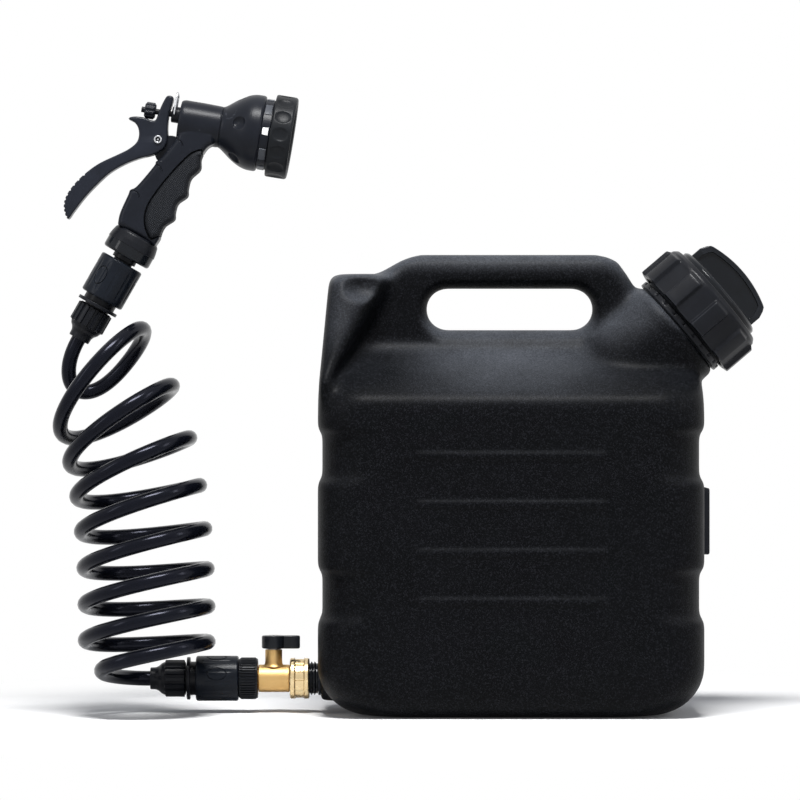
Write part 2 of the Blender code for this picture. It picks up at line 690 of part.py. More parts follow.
OUTLET_IN = BALL + SEAT_NEAR + SEAT_THICK + FIT
ADAPTER_NEAR = VALVE_FAR + FIT
MOUTH = ADAPTER_NEAR + ADAPTER_LENGTH + FIT
ADAPTER_FLOOR = MOUTH - 4.6 * mm
OUTLET_END = ADAPTER_FLOOR - 2 * FIT - WASHER
outlet = turned([(WATER_BORE, OUTLET_END), (HOSE_THREAD - 1 * mm, OUTLET_END),
                (HOSE_THREAD, OUTLET_END - 1 * mm),
                 (HOSE_THREAD, VALVE_FAR + 1.2 * mm), (VALVE_RADIUS - 1.4 * mm, VALVE_FAR + FIT),
                 (CHAMBER - FIT, VALVE_FAR + FIT), (CHAMBER - FIT, OUTLET_IN), (WATER_BORE,
                         OUTLET_IN)], SMALL_COUNT, True)
own(outlet, "valve_outlet", ("c39a4b", 0.3, 1.0), line)

# Ball, stem and handle turn together about the tower's upright axis
ball_x = BOSS_FACE - BALL
valve_turn = joint("valve_turn", (ball_x, 0, LINE_Z))
bpy.ops.mesh.primitive_uv_sphere_add(segments=12, ring_count=8, radius=BALL_RADIUS,
                                     rotation=(0, math.radians(90), 0))
ball = bpy.context.object
combine(ball, rod(WATER_BORE - 0.6 * mm, 30 * mm, (0, 0, 0), (0, math.radians(90), 0), SMALL_COUNT))
TANG = 2.6 * mm
combine(ball, block((6 * mm, TANG + 2 * FIT, 4 * mm), (0, 0, BALL_RADIUS)))
own(ball, "valve_ball", ("d5d7da", 0.12, 1.0), valve_turn)
HANDLE_LOW = TOWER_RISE + 0.5 * mm
SEAL_Z = TOWER_RISE - 6 * mm
stem = turned([(0, HANDLE_LOW + 5 * mm), (STEM_RADIUS - 0.6 * mm, HANDLE_LOW + 5 * mm),
               (STEM_RADIUS - 0.6 * mm, TOWER_RISE - FIT), (STEM_RADIUS, TOWER_RISE - FIT),
               (STEM_RADIUS, SEAL_Z + 2 * mm),
               (STEM_RADIUS - 1 * mm, SEAL_Z + 2 * mm), (STEM_RADIUS - 1 * mm, SEAL_Z), (STEM_RADIUS, SEAL_Z),
               (STEM_RADIUS, BALL_RADIUS + 0.5 * mm), (0, BALL_RADIUS + 0.5 * mm)], SMALL_COUNT)
tang = block((5 * mm, TANG, 3.4 * mm), (0, 0, BALL_RADIUS))
combine(stem, tang, "UNION")
own(stem, "valve_stem", ("b9924a", 0.35, 1.0), valve_turn)
o_ring = turned([(STEM_RADIUS - 0.8 * mm, SEAL_Z + 1.6 * mm), (STEM_RADIUS + 0.1 * mm, SEAL_Z + 1.6 * mm),
                 (STEM_RADIUS + 0.1 * mm, SEAL_Z + 0.4 * mm), (STEM_RADIUS - 0.8 * mm,
                         SEAL_Z + 0.4 * mm)], SMALL_COUNT, True)
own(o_ring, "stem_o_ring", ("1a1a1a", 0.7), valve_turn)
lever_outline = []
for k in range(13):
    a = math.radians(30 + 25 * k)
    lever_outline.append((LEVER_HUB * math.cos(a), LEVER_HUB * math.sin(a)))
lever_outline += [(LEVER_HUB * 1.05, -LEVER_WIDTH / 2), (LEVER_REACH - 2 * mm, -LEVER_WIDTH / 2),
                  (LEVER_REACH, -LEVER_WIDTH / 2 + 2 * mm), (LEVER_REACH, LEVER_WIDTH / 2 - 2 * mm),
                  (LEVER_REACH - 2 * mm, LEVER_WIDTH / 2), (LEVER_HUB * 1.05, LEVER_WIDTH / 2)]
knob = plate(lever_outline, LEVER_HEIGHT / 2)
knob.rotation_euler = (0, 0, 0)
knob.location = (0, 0, HANDLE_LOW + LEVER_HEIGHT / 2)
bevel(knob, 1.4 * mm)
combine(knob, rod(STEM_RADIUS - 0.6 * mm + FIT, 12 * mm, (0, 0, HANDLE_LOW), sides=SMALL_COUNT))
combine(knob, rod(3.4 * mm, 6 * mm, (0, 0, HANDLE_LOW + LEVER_HEIGHT), sides=SMALL_COUNT))
own(knob, "valve_handle", ("131417", 0.35), valve_turn)
screw = rod(3 * mm, 2.6 * mm, (0, 0, HANDLE_LOW + LEVER_HEIGHT - 3 * mm + FIT + 1.3 * mm), sides=SMALL_COUNT)
combine(screw, block((1 * mm, 4 * mm, 2 * mm), (0, 0, HANDLE_LOW + LEVER_HEIGHT)))
own(screw, "handle_screw", ("b8babd", 0.3, 1.0), valve_turn)

# Nipple that plugs into a quick connector, z measured from the connector's mouth towards the gun or valve
O_RING_Z = -14 * mm


def nipple_profile():
    return [(NIPPLE_RADIUS, O_RING_Z + 2.6 * mm), (NIPPLE_RADIUS - 1.6 * mm, O_RING_Z + 2.6 * mm),
            (NIPPLE_RADIUS - 1.6 * mm, O_RING_Z), (NIPPLE_RADIUS, O_RING_Z), (NIPPLE_RADIUS,
                    -NIPPLE_REACH + 3 * mm),
            (NIPPLE_RADIUS - 1.6 * mm, -NIPPLE_REACH), (WATER_BORE, -NIPPLE_REACH)]


def nipple_ring(name, frame):
    ring_in = NIPPLE_RADIUS - 1.4 * mm
    ring_out = NIPPLE_RADIUS + 0.2 * mm
    obj = turned([(ring_in, O_RING_Z + 1.3 * mm), (ring_out - 0.4 * mm, O_RING_Z + 2.2 * mm),
                  (ring_out, O_RING_Z + 1.3 * mm), (ring_out - 0.4 * mm,
                                                    O_RING_Z + 0.4 * mm)], SMALL_COUNT, True)
    own(obj, name, ("1a1a1a", 0.6), frame)


lower = joint("lower_connector", (BOSS_FACE - MOUTH, 0, LINE_Z), math.radians(90))
adapter_top = MOUTH - ADAPTER_NEAR
adapter = turned([(HOSE_THREAD + RUN, adapter_top), (ADAPTER_RADIUS - 1 * mm, adapter_top),
                  (ADAPTER_RADIUS, adapter_top - 1 * mm), (ADAPTER_RADIUS,
                                                           1.3 * mm), (ADAPTER_RADIUS - 1 * mm, FIT),
                  (NIPPLE_RADIUS, FIT)] + nipple_profile() + [(WATER_BORE, MOUTH - ADAPTER_FLOOR),
                 (HOSE_THREAD + RUN, MOUTH - ADAPTER_FLOOR)], MIDDLE_COUNT, True)


def adapter_rib(bm):
    bar(bm, (2 * mm, 1.8 * mm, adapter_top - 4 * mm), (ADAPTER_RADIUS - 0.4 * mm, 0, adapter_top / 2))


combine(adapter, fan(8, adapter_rib), "UNION")
own(adapter, "tap_adapter", ("17181b", 0.4), lower)
adapter_washer = turned([(WATER_BORE, OUTLET_END + FIT + WASHER),
                        (HOSE_THREAD - 0.6 * mm, OUTLET_END + FIT + WASHER),
                         (HOSE_THREAD - 0.6 * mm, OUTLET_END + FIT), (WATER_BORE,
                                 OUTLET_END + FIT)], SMALL_COUNT, True)
own(adapter_washer, "adapter_washer", ("1d1d1f", 0.8), line)
nipple_ring("adapter_o_ring", lower)

UPPER_X = BOSS_FACE - UPPER_REACH
UPPER_Z = LINE_Z + UPPER_RISE
upper = joint("upper_connector", (UPPER_X, 0, UPPER_Z), UPPER_LEAN)


def coil_points(count, radius, low, high, per_turn):
    """A helix about Z from low to high."""
    total = int(count * per_turn)
    return [(radius * math.cos(math.tau * k / per_turn), radius * math.sin(math.tau * k / per_turn),
             low + (high - low) * k / total) for k in range(total + 1)]


def connector(tag, frame):
    """A female quick connector: core, sliding sleeve with its spring, and the clamp nut on the hose."""
    socket = NIPPLE_RADIUS + 0.4 * mm
    slim = CORE_RADIUS - 1.5 * mm
    step = -CORE_FLANGE + 11.4 * mm
    tail_r = CORE_RADIUS - 3 * mm
    flange_low = -CORE_FLANGE - FLANGE_THICK
    clamp_top = flange_low - 1.2 * mm
    clamp_low = clamp_top - CLAMP_SKIRT
    clamp_end = clamp_low - CLAMP_CONE
    hose_end = clamp_end + 2 * HOSE_RADIUS
    core = turned([(socket, -2 * mm), (slim, -2 * mm), (slim, step), (CORE_RADIUS, step),
                  (CORE_RADIUS, -CORE_FLANGE),
                   (FLANGE_RADIUS, -CORE_FLANGE), (FLANGE_RADIUS, flange_low), (tail_r, flange_low),
                   (tail_r, hose_end + FIT), (2.8 * mm, hose_end + FIT), (2.8 * mm, -NIPPLE_REACH - 4 * mm),
                   (socket, -NIPPLE_REACH - 4 * mm)], MIDDLE_COUNT, True)
    own(core, "connector_core_" + tag, ("121317", 0.38), frame)
    slide = joint("sleeve_pull_" + tag, (0, 0, 0), 0, frame)
    pocket = SLEEVE_RADIUS - 1.6 * mm
    spring_top = -14 * mm
    sleeve = turned([(slim + RUN, 0), (SLEEVE_RADIUS - 1 * mm, 0), (SLEEVE_RADIUS, -1 * mm),
                     (SLEEVE_RADIUS, -SLEEVE_LENGTH + 1 * mm), (SLEEVE_RADIUS - 1 * mm, -SLEEVE_LENGTH),
                     (CORE_RADIUS + RUN, -SLEEVE_LENGTH), (CORE_RADIUS + RUN, -SLEEVE_LENGTH + 3 * mm),
                     (pocket, -SLEEVE_LENGTH + 3 * mm), (pocket, spring_top), (slim + RUN,
                             spring_top)], MIDDLE_COUNT, True)
    own(sleeve, "connector_sleeve_" + tag, ("14161a", 0.36), slide)
    middle = slim + WIRE + 1.2 * mm
    spring = tube(coil_points(3, middle, step + WIRE + FIT, spring_top - WIRE - FIT, 8), WIRE, 0)
    own(spring, "sleeve_spring_" + tag, ("b9bbbf", 0.3, 1.0), frame)
    clamp = turned([(tail_r + RUN, clamp_top), (CLAMP_RADIUS - 1 * mm, clamp_top),
                   (CLAMP_RADIUS, clamp_top - 1 * mm),
                    (CLAMP_RADIUS, clamp_low), (CLAMP_RADIUS - 3 * mm, clamp_low - 3 * mm), (CLAMP_MOUTH,
                            clamp_end),
                    (HOSE_RADIUS + FIT, clamp_end), (HOSE_RADIUS + FIT, hose_end),
                    (tail_r + RUN, hose_end)], MIDDLE_COUNT, True)

    def clamp_rib(bm):
        bar(bm, (2 * mm, 2 * mm, CLAMP_SKIRT - 3 * mm), (CLAMP_RADIUS - 0.2 * mm, 0,
            (clamp_top + clamp_low) / 2))

    combine(clamp, fan(8, clamp_rib), "UNION")
    own(clamp, "clamp_nut_" + tag, ("101114", 0.4), frame)
    return clamp_end, hose_end


connector("a", lower)
hose_exit, hose_end = connector("b", upper)

# Hose: a moulded coil whose rings tip over towards the top, with a free lead at each end


def coil(u):
    """Centreline of the coil, u in turns up from its lowest left bend."""
    w = max(u, 0.0) / COIL_TURNS
    centre = Vector((BOSS_FACE - COIL_REACH - 47.4 * mm * w ** 3.6, 22 * mm * w * w - COIL_FRONT,
                     LINE_Z + COIL_LIFT + COIL_RISE * (u + u * u / 50)))
    tip = math.radians(7.7 + 50.2 * w ** 3.6)
    nod = math.radians(5.4 + 16.4 * w ** 3.6)
    right = Vector((math.cos(tip), 0, math.sin(tip)))
    front = Vector((-math.sin(nod) * math.sin(tip), -math.cos(nod), math.sin(nod) * math.cos(tip)))
    a = math.tau * u
    return centre - right * COIL_RADIUS * math.cos(a) + front * COIL_RADIUS * math.sin(a)


def coil_way(u):
    return (coil(u + 0.001) - coil(u - 0.001)).normalized()


def lead(p0, way0, p1, way1, pull0, pull1, count):
    """A smooth bend between two places, leaving along way0 and arriving along way1."""
    q0 = p0 + way0 * pull0
    q1 = p1 - way1 * pull1
    out = []
    for k in range(count + 1):
        t = k / count
        out.append(p0 * (1 - t) ** 3 + q0 * 3 * t * (1 - t) ** 2 + q1 * 3 * t * t * (1 - t) + p1 * t ** 3)
    return out


bpy.context.view_layer.update()
COIL_START = 0.2
COIL_END = 7.72
low_frame = lower.matrix_world
high_frame = upper.matrix_world
low_way = (low_frame.to_3x3() @ Vector((0, 0, -1))).normalized()
high_way = (high_frame.to_3x3() @ Vector((0, 0, 1))).normalized()
low_seat = low_frame @ Vector((0, 0, hose_end))
low_out = low_frame @ Vector((0, 0, hose_exit))
high_seat = high_frame @ Vector((0, 0, hose_end))
high_out = high_frame @ Vector((0, 0, hose_exit))

low_lead = [low_seat] + lead(low_out, low_way, coil(COIL_START), coil_way(COIL_START), 30 * mm, 40 * mm, 11)
high_lead = lead(coil(COIL_END), coil_way(COIL_END), high_out, high_way, 52 * mm, 42 * mm, 14) + [high_seat]
COIL_STEPS = round((COIL_END - COIL_START) * POINT_COUNT)
turns = [coil(COIL_START + (COIL_END - COIL_START) * k / COIL_STEPS) for k in range(COIL_STEPS + 1)]


def least_gap(points):
    """Least distance between the tube's skins, leaving out neighbours along it."""
    run = [0.0]
    for a, b in zip(points, points[1:]):
        run.append(run[-1] + (b - a).length)
    least = 1.0
    for i in range(len(points)):
        for j in range(i + 1, len(points)):
            if run[j] - run[i] > 8 * HOSE_RADIUS:
                least = min(least, (points[i] - points[j]).length)
    return least - 2 * HOSE_RADIUS, run[-1]


gap, length = least_gap(low_lead + turns[1:] + high_lead[1:])
print("hose least gap to itself %.2f mm, length %.3f m" % (gap * 1000, length))


def squared(points, way, at_end):
    """End a length square to the way it meets the next, half the gap short of it."""
    points = list(points)
    meet = points[-1] if at_end else points[0]
    back = -way if at_end else way
    ends = [meet + back * FIT / 2, meet + back * 3 * mm]
    return points[:-1] + ends[::-1] if at_end else ends + points[1:]


own(tube(squared(low_lead, coil_way(COIL_START), True), HOSE_RADIUS, 2), "hose_lower_lead", ("0f1013", 0.25))
turns = squared(squared(turns, coil_way(COIL_START), False), coil_way(COIL_END), True)
own(tube(turns, HOSE_RADIUS, 1), "hose_coil", ("0f1013", 0.25))
own(tube(squared(high_lead, coil_way(COIL_END), False), HOSE_RADIUS, 2), "hose_upper_lead", ("0f1013", 0.25))

# Gun: the whole gun swivels on the upper connector

gun = joint("gun_swivel", (0, 0, 0), 0, upper)
bpy.context.view_layer.update()


def hang(obj, name, look, parent):
    """Parent an object that is drawn in world coordinates."""
    bpy.context.view_layer.update()
    world = obj.matrix_world.copy()
    own(obj, name, look, parent)
    obj.matrix_parent_inverse = parent.matrix_world.inverted()
    obj.matrix_world = world
    return obj


COLLAR_LOW = COLLAR_GAP
COLLAR_TOP = COLLAR_LOW + COLLAR_HEIGHT
gun_nipple = turned([(WATER_BORE, COLLAR_LOW + 8 * mm), (NIPPLE_RADIUS + 2 * mm, COLLAR_LOW + 8 * mm),
                     (NIPPLE_RADIUS + 2 * mm, 1.5 * mm), (NIPPLE_RADIUS,
                                                          1.5 * mm)] + nipple_profile(), MIDDLE_COUNT, True)
own(gun_nipple, "gun_nipple", ("131417", 0.4), gun)
nipple_ring("gun_o_ring", gun)
cuff = turned([(NIPPLE_RADIUS + 2 * mm + FIT, COLLAR_TOP), (COLLAR_RADIUS - 2.4 * mm, COLLAR_TOP),
               (COLLAR_RADIUS, COLLAR_TOP - 6 * mm), (COLLAR_RADIUS, COLLAR_LOW + 1.5 * mm),
               (COLLAR_RADIUS - 1.5 * mm, COLLAR_LOW), (NIPPLE_RADIUS + 2 * mm + FIT,
                                                        COLLAR_LOW)], MIDDLE_COUNT, True)
own(cuff, "handle_collar", ("121316", 0.3), gun)

barrel = joint("barrel_frame", (0, 0, 0), 0, gun)
BARREL_X = UPPER_X + BARREL_REACH
BARREL_Z = UPPER_Z + BARREL_RISE
TRIGGER_X = UPPER_X + TRIGGER_REACH
TRIGGER_Z = UPPER_Z + TRIGGER_RISE
barrel.matrix_world = Matrix.Translation((BARREL_X, 0, BARREL_Z)) @ Matrix.Rotation(BARREL_LEAN, 4, "Y")
bpy.context.view_layer.update()
along_barrel = barrel.matrix_world
stem_axis = joint("plunger_axis", (-PLUNGER_RISE, 0, 0), 0, barrel)
bpy.context.view_layer.update()
along_plunger = stem_axis.matrix_world
up_handle = upper.matrix_world


def from_swivel(*pairs):
    """Points in X and Z, in millimetres from the gun's swivel point."""
    return [(UPPER_X + x * mm, UPPER_Z + z * mm) for x, z in pairs]


finger_side = from_swivel((31.4, 23.4), (34.6, 28.9), (41.6, 33.9), (42.4, 39.9), (44.8, 46.8), (52, 52.4),
                  (52.8, 58.8), (55.2, 66.8), (62.4, 74), (63.2, 82.8), (68, 90.8), (73.6, 93.9))
back_side = from_swivel((61.6, 108.4), (47.6, 104.4), (42.4, 96.4), (32, 83.6), (27.2, 79.6), (26, 76.8),
                (12, 60.4), (6.4, 57.2), (5.2, 53.6), (-2.8, 35.8))
heel_right = up_handle @ Vector((COLLAR_RADIUS - 2.6 * mm, 0, COLLAR_TOP + FIT))
heel_left = up_handle @ Vector((-COLLAR_RADIUS + 2.6 * mm, 0, COLLAR_TOP + FIT))
handle_outline = [(heel_left.x, heel_left.z), (heel_right.x, heel_right.z)] + finger_side + back_side
core_shift = 3.4 * mm
core_outline = [(x - core_shift, z) for x, z in finger_side[1:]] + back_side[2:6]
core_outline = [(heel_right.x - 8 * mm, heel_right.z + 4 * mm)] + core_outline + [(heel_left.x + 8 * mm,
        heel_left.z + 4 * mm)]
inlay_edge = from_swivel((68, 91.6), (60.8, 90), (53.6, 85.2), (41.6, 73.2), (29.6, 58.8), (21.6, 46.8),
                 (19.2, 37.2), (20, 30.8))
inlay_foot = up_handle @ Vector((COLLAR_RADIUS - 9 * mm, 0, COLLAR_TOP + 2 * mm))
inlay_outline = finger_side[:-1] + inlay_edge[1:] + [(inlay_foot.x, inlay_foot.z)]
half_handle = HANDLE_WIDTH / 2


def grown(outline, by):
    """An outline moved outwards by one distance all round."""
    area = sum(a[0] * b[1] - b[0] * a[1] for a, b in zip(outline, outline[1:] + outline[:1]))
    turn = 1 if area > 0 else -1
    out = []
    for i, (x, z) in enumerate(outline):
        before = Vector((x, z)) - Vector(outline[i - 1])
        after = Vector(outline[(i + 1) % len(outline)]) - Vector((x, z))
        n0 = Vector((before.y, -before.x)).normalized() * turn
        n1 = Vector((after.y, -after.x)).normalized() * turn
        both = (n0 + n1).normalized()
        out.append((x + both.x * by / max(both.dot(n0), 0.4), z + both.y * by / max(both.dot(n0), 0.4)))
    return out


gun_body = plate(handle_outline, half_handle)
bevel(gun_body, 5 * mm, 1, 60)
relief = plate(grown(inlay_outline, FIT), half_handle + 4 * mm)
combine(relief, plate(core_outline, half_handle - 4 * mm))
combine(gun_body, relief)
barrel_tube = turned([(0, BARREL_LENGTH - FIT), (BARREL_RADIUS - 0.5 * mm, BARREL_LENGTH - FIT),
                      (BARREL_RADIUS, 1 * mm), (BARREL_RADIUS - 1 * mm, 0), (0, 0)], MIDDLE_COUNT)
barrel_tube.matrix_world = along_barrel
combine(gun_body, barrel_tube, "UNION")
lug_plate = plate(from_swivel((23.6, 98), (25, 101.4), (28.8, 102.8), (32.6, 101.6), (43.6, 100.4),
                  (47.6, 92.4),
                      (37.6, 86.9), (32.1, 90.9), (25.6, 94.4)), LUG_WIDTH / 2)
combine(gun_body, lug_plate, "UNION")
chamber = turned([(0, SEAT), (CHAMBER_RADIUS, SEAT), (CHAMBER_RADIUS, 6 * mm), (5.2 * mm, 6 * mm),
                 (5.2 * mm, -1 * mm),
                  (0, -1 * mm)], LARGE_COUNT)
chamber.matrix_world = along_plunger
combine(gun_body, chamber)
port = turned([(0, BARREL_LENGTH + 1 * mm), (9 * mm, BARREL_LENGTH + 1 * mm), (9 * mm, SEAT + 2.3 * mm),
               (4.6 * mm, SEAT + 2.3 * mm), (4.6 * mm, SEAT - 1 * mm), (0, SEAT - 1 * mm)], SMALL_COUNT)
port.matrix_world = along_plunger
combine(gun_body, port)
riser = [up_handle @ Vector((0, 0, COLLAR_TOP - 2 * mm)), up_handle @ Vector((0, 0, COLLAR_TOP + 12 * mm)),
         Vector((UPPER_X + 31.6 * mm, 0, UPPER_Z + 62.4 * mm)), Vector((UPPER_X + 47.6 * mm, 0,
                 UPPER_Z + 84.4 * mm)), along_plunger @ Vector((0, 0, 10.5 * mm))]
water_way = tube(riser, 3.6 * mm, 1)
combine(gun_body, water_way)
pin_hole = rod(PIN_RADIUS + FIT, 40 * mm, (TRIGGER_X, 0, TRIGGER_Z), (math.radians(90), 0, 0), SMALL_COUNT)
combine(gun_body, pin_hole)
hang(gun_body, "gun_body", ("16171b", 0.42), gun)

grip = plate(inlay_outline, half_handle + 0.4 * mm)
bevel(grip, 3 * mm, 1, 60)
combine(grip, plate(grown(core_outline, FIT), half_handle - 4 * mm + FIT))
hang(grip, "grip_overlay", ("121316", 0.65), gun)

# Spray head and its pattern dial
head_out = [(BARREL_RADIUS - 0.5 * mm, BARREL_LENGTH)]
for k in range(1, 9):
    t = k / 8
    head_out.append((BARREL_RADIUS - 0.5 * mm + (HEAD_RADIUS - BARREL_RADIUS + 0.5 * mm) * ease(t ** 0.9),
                     BARREL_LENGTH + 27 * mm * t))
head_out += [(HEAD_RADIUS, BAND_START - 1 * mm), (HEAD_RADIUS - 1 * mm, BAND_START),
             (BAND_RADIUS, BAND_START),
             (BAND_RADIUS, FACE - DIAL_LENGTH - RUN)]
head_end = FACE - DIAL_LENGTH - RUN
head_bore = 24 * mm
head_in = [(head_bore, head_end), (head_bore, BAND_START - 4 * mm),
           (BARREL_RADIUS - 2 * mm, BARREL_LENGTH + 14 * mm),
           (11 * mm, BARREL_LENGTH + 4 * mm), (11 * mm, BARREL_LENGTH)]
head = turned((head_out + head_in)[::-1], MIDDLE_COUNT, True)
dents = bmesh.new()
for i in range(8):
    ring_at = Matrix.Rotation(math.tau * (i + 0.3) / 8, 4,
                              "Z") @ Matrix.Translation((HEAD_RADIUS + 3.2 * mm, 0, 55 * mm))
    bmesh.ops.create_uvsphere(dents, u_segments=6, v_segments=4, radius=7 * mm, matrix=ring_at)
dent_mesh = bpy.data.meshes.new("dents")
dents.to_mesh(dent_mesh)
dents.free()
combine(head, new_object("dents", dent_mesh))
own(head, "spray_head", ("141519", 0.4), barrel)

dial_turn = joint("dial_turn", (0, 0, 0), 0, barrel)
dial_low = FACE - DIAL_LENGTH
plate_r = DIAL_RADIUS - 5 * mm
dial = turned([(plate_r, FACE - 1 * mm), (DIAL_RADIUS - 2 * mm, FACE), (DIAL_RADIUS, FACE - 2 * mm),
               (DIAL_RADIUS, dial_low + 1 * mm), (DIAL_RADIUS - 1 * mm, dial_low), (head_bore - 3 * RUN,
                       dial_low),
               (head_bore - 3 * RUN, dial_low - 6 * mm), (head_bore - 4 * mm, dial_low - 6 * mm),
               (head_bore - 4 * mm, FACE - 5 * mm), (plate_r, FACE - 5 * mm)], LARGE_COUNT, True)
dial_cuts = bmesh.new()
for i in range(DIAL_DENTS):
    ring_at = Matrix.Rotation(math.tau * (i + 0.5) / DIAL_DENTS, 4, "Z")
    ring_at = ring_at @ Matrix.Translation((DIAL_RADIUS + 3.6 * mm, 0, dial_low + DIAL_LENGTH / 2))
    bmesh.ops.create_uvsphere(dial_cuts, u_segments=6, v_segments=4, radius=6.4 * mm, matrix=ring_at)
cut_mesh = bpy.data.meshes.new("dial_cuts")
dial_cuts.to_mesh(cut_mesh)
dial_cuts.free()
combine(dial, new_object("dial_cuts", cut_mesh))
own(dial, "pattern_dial", ("101114", 0.45), dial_turn)
face_plate = turned([(0, FACE - 2 * mm), (plate_r - FIT, FACE - 2 * mm), (plate_r - FIT, FACE - 5 * mm + FIT),
                     (0, FACE - 5 * mm + FIT)], MIDDLE_COUNT)


def spray_hole(bm):
    made = bmesh.ops.create_cone(bm, cap_ends=True, segments=6, radius1=0.9 * mm, radius2=0.9 * mm,
                                 depth=8 * mm)
    bmesh.ops.translate(bm, verts=made["verts"], vec=(15 * mm, 0, FACE - 3 * mm))


def jet_hole(bm):
    made = bmesh.ops.create_cone(bm, cap_ends=True, segments=6, radius1=1.4 * mm, radius2=1.4 * mm,
                                 depth=8 * mm)
    bmesh.ops.translate(bm, verts=made["verts"], vec=(8 * mm, 0, FACE - 3 * mm))


combine(face_plate, fan(8, spray_hole))
combine(face_plate, fan(4, jet_hole))
own(face_plate, "spray_plate", ("1b1c20", 0.4), dial_turn)

# Trigger, its pin, and the plunger that it pulls
trigger_turn = joint("trigger_turn", (0, 0, 0), 0, gun)
trigger_turn.matrix_world = Matrix.Translation((TRIGGER_X, 0, TRIGGER_Z))
bpy.context.view_layer.update()
trigger_outline = from_swivel((36.2, 131.8), (40.8, 131), (38.4, 120.4), (37.6, 108.4), (37.2, 98.8),
                              (33.6, 90),
                      (25.6, 86), (13.6, 82.8), (1.6, 78), (-10.4, 70.8), (-22.4, 59.6), (-30.4, 50.8),
                      (-38.4, 40.4), (-43, 34.6), (-45.8, 39.6), (-46.4, 46.8), (-44, 54), (-38.4, 62),
                      (-30.4, 70), (-18.4, 78.8), (-2.4, 87.6), (6.4, 91.6), (11.2, 97.2), (12, 104.4),
                      (9.6, 110.4), (4.8, 113.4), (9.6, 113.6), (19.2, 112.8), (26.4, 113), (27.7, 120.4),
                      (29.4, 128.4))
trigger = plate(trigger_outline, TRIGGER_WIDTH / 2)
bevel(trigger, 1.4 * mm, 1, 60)
lug_room = rod(8.6 * mm, LUG_WIDTH + 2 * RUN, (TRIGGER_X, 0, TRIGGER_Z), (math.radians(90), 0, 0),
               SMALL_COUNT)
combine(trigger, lug_room)
lug_exit = block((24 * mm, LUG_WIDTH + 2 * RUN, 22 * mm), (TRIGGER_X + 14 * mm, 0, TRIGGER_Z - 6 * mm))
combine(trigger, lug_exit)
slot_at = along_plunger @ Vector((0, 0, -13 * mm))
rod_slot = block((34 * mm, 2 * ROD_RADIUS + 2.4 * mm, 2 * ROD_RADIUS + 5.4 * mm), slot_at,
                 BARREL_LEAN - math.pi / 2)
combine(trigger, rod_slot)
combine(trigger, rod(PIN_RADIUS + FIT, 40 * mm, (TRIGGER_X, 0, TRIGGER_Z), (math.radians(90), 0, 0),
        SMALL_COUNT))
hang(trigger, "trigger", ("15161a", 0.42), trigger_turn)
pin = turned([(0, TRIGGER_WIDTH / 2 + 1.6 * mm), (3.2 * mm, TRIGGER_WIDTH / 2 + 1.2 * mm),
              (3.2 * mm, TRIGGER_WIDTH / 2 + FIT), (PIN_RADIUS, TRIGGER_WIDTH / 2 + FIT),
              (PIN_RADIUS, -TRIGGER_WIDTH / 2 - FIT), (3.2 * mm, -TRIGGER_WIDTH / 2 - FIT),
              (3.2 * mm, -TRIGGER_WIDTH / 2 - 1.2 * mm), (0, -TRIGGER_WIDTH / 2 - 1.6 * mm)], SMALL_COUNT)
pin.rotation_euler = (math.radians(90), 0, 0)
pin.location = (TRIGGER_X, 0, TRIGGER_Z)
hang(pin, "trigger_pin", ("c4c6c9", 0.25, 1.0), gun)

plunger_slide = joint("plunger_slide", (0, 0, 0), 0, stem_axis)
KNOB_NEAR = -19.6 * mm
KNOB_FAR = KNOB_NEAR - KNOB_LENGTH
DISC = SEAT - FIT - 1.6 * mm
plunger = turned([(0, DISC - FIT), (SEAL_RADIUS, DISC - FIT), (SEAL_RADIUS, DISC - 2 * mm),
                 (ROD_RADIUS, DISC - 2 * mm),
                  (ROD_RADIUS, KNOB_FAR - 3 * mm), (0, KNOB_FAR - 3 * mm)], MIDDLE_COUNT)
own(plunger, "plunger", ("2b2c30", 0.4), plunger_slide)
seal = turned([(0, SEAT - FIT), (SEAL_RADIUS, SEAT - FIT), (SEAL_RADIUS, DISC), (0, DISC)], MIDDLE_COUNT)
own(seal, "plunger_seal", ("1a1a1a", 0.8), plunger_slide)
gland_tail = 5 * mm
gland = turned([(ROD_RADIUS + FIT, gland_tail), (4.9 * mm, gland_tail), (4.9 * mm, -FIT), (6.5 * mm, -FIT),
                (6.5 * mm, -6 * mm), (5.6 * mm, -6.6 * mm), (ROD_RADIUS + FIT,
                        -6.6 * mm)], MIDDLE_COUNT, True)
own(gland, "plunger_gland", ("1c1d20", 0.4), stem_axis)
spring_low = gland_tail + WIRE + FIT
spring_high = DISC - 2 * mm - WIRE - FIT
plunger_spring = tube(coil_points(3, ROD_RADIUS + WIRE + 0.8 * mm, spring_low, spring_high, 8), WIRE, 0)
own(plunger_spring, "plunger_spring", ("b9bbbf", 0.3, 1.0), stem_axis)
knob_turn = joint("knob_turn", (0, 0, 0), 0, plunger_slide)
flow_knob = turned([(ROD_RADIUS + FIT, KNOB_NEAR), (KNOB_RADIUS - 1.4 * mm, KNOB_NEAR),
                    (KNOB_RADIUS - 0.6 * mm, KNOB_NEAR - 1 * mm), (KNOB_RADIUS - 0.6 * mm, KNOB_FAR + 1 * mm),
                    (KNOB_RADIUS - 1.6 * mm, KNOB_FAR), (ROD_RADIUS + FIT, KNOB_FAR)], SMALL_COUNT, True)


def knob_rib(bm):
    bar(bm, (2 * mm, 2 * mm, KNOB_LENGTH - 2.4 * mm), (KNOB_RADIUS - 1 * mm, 0, (KNOB_NEAR + KNOB_FAR) / 2))


combine(flow_knob, fan(8, knob_rib), "UNION")
own(flow_knob, "flow_knob", ("101114", 0.4), knob_turn)

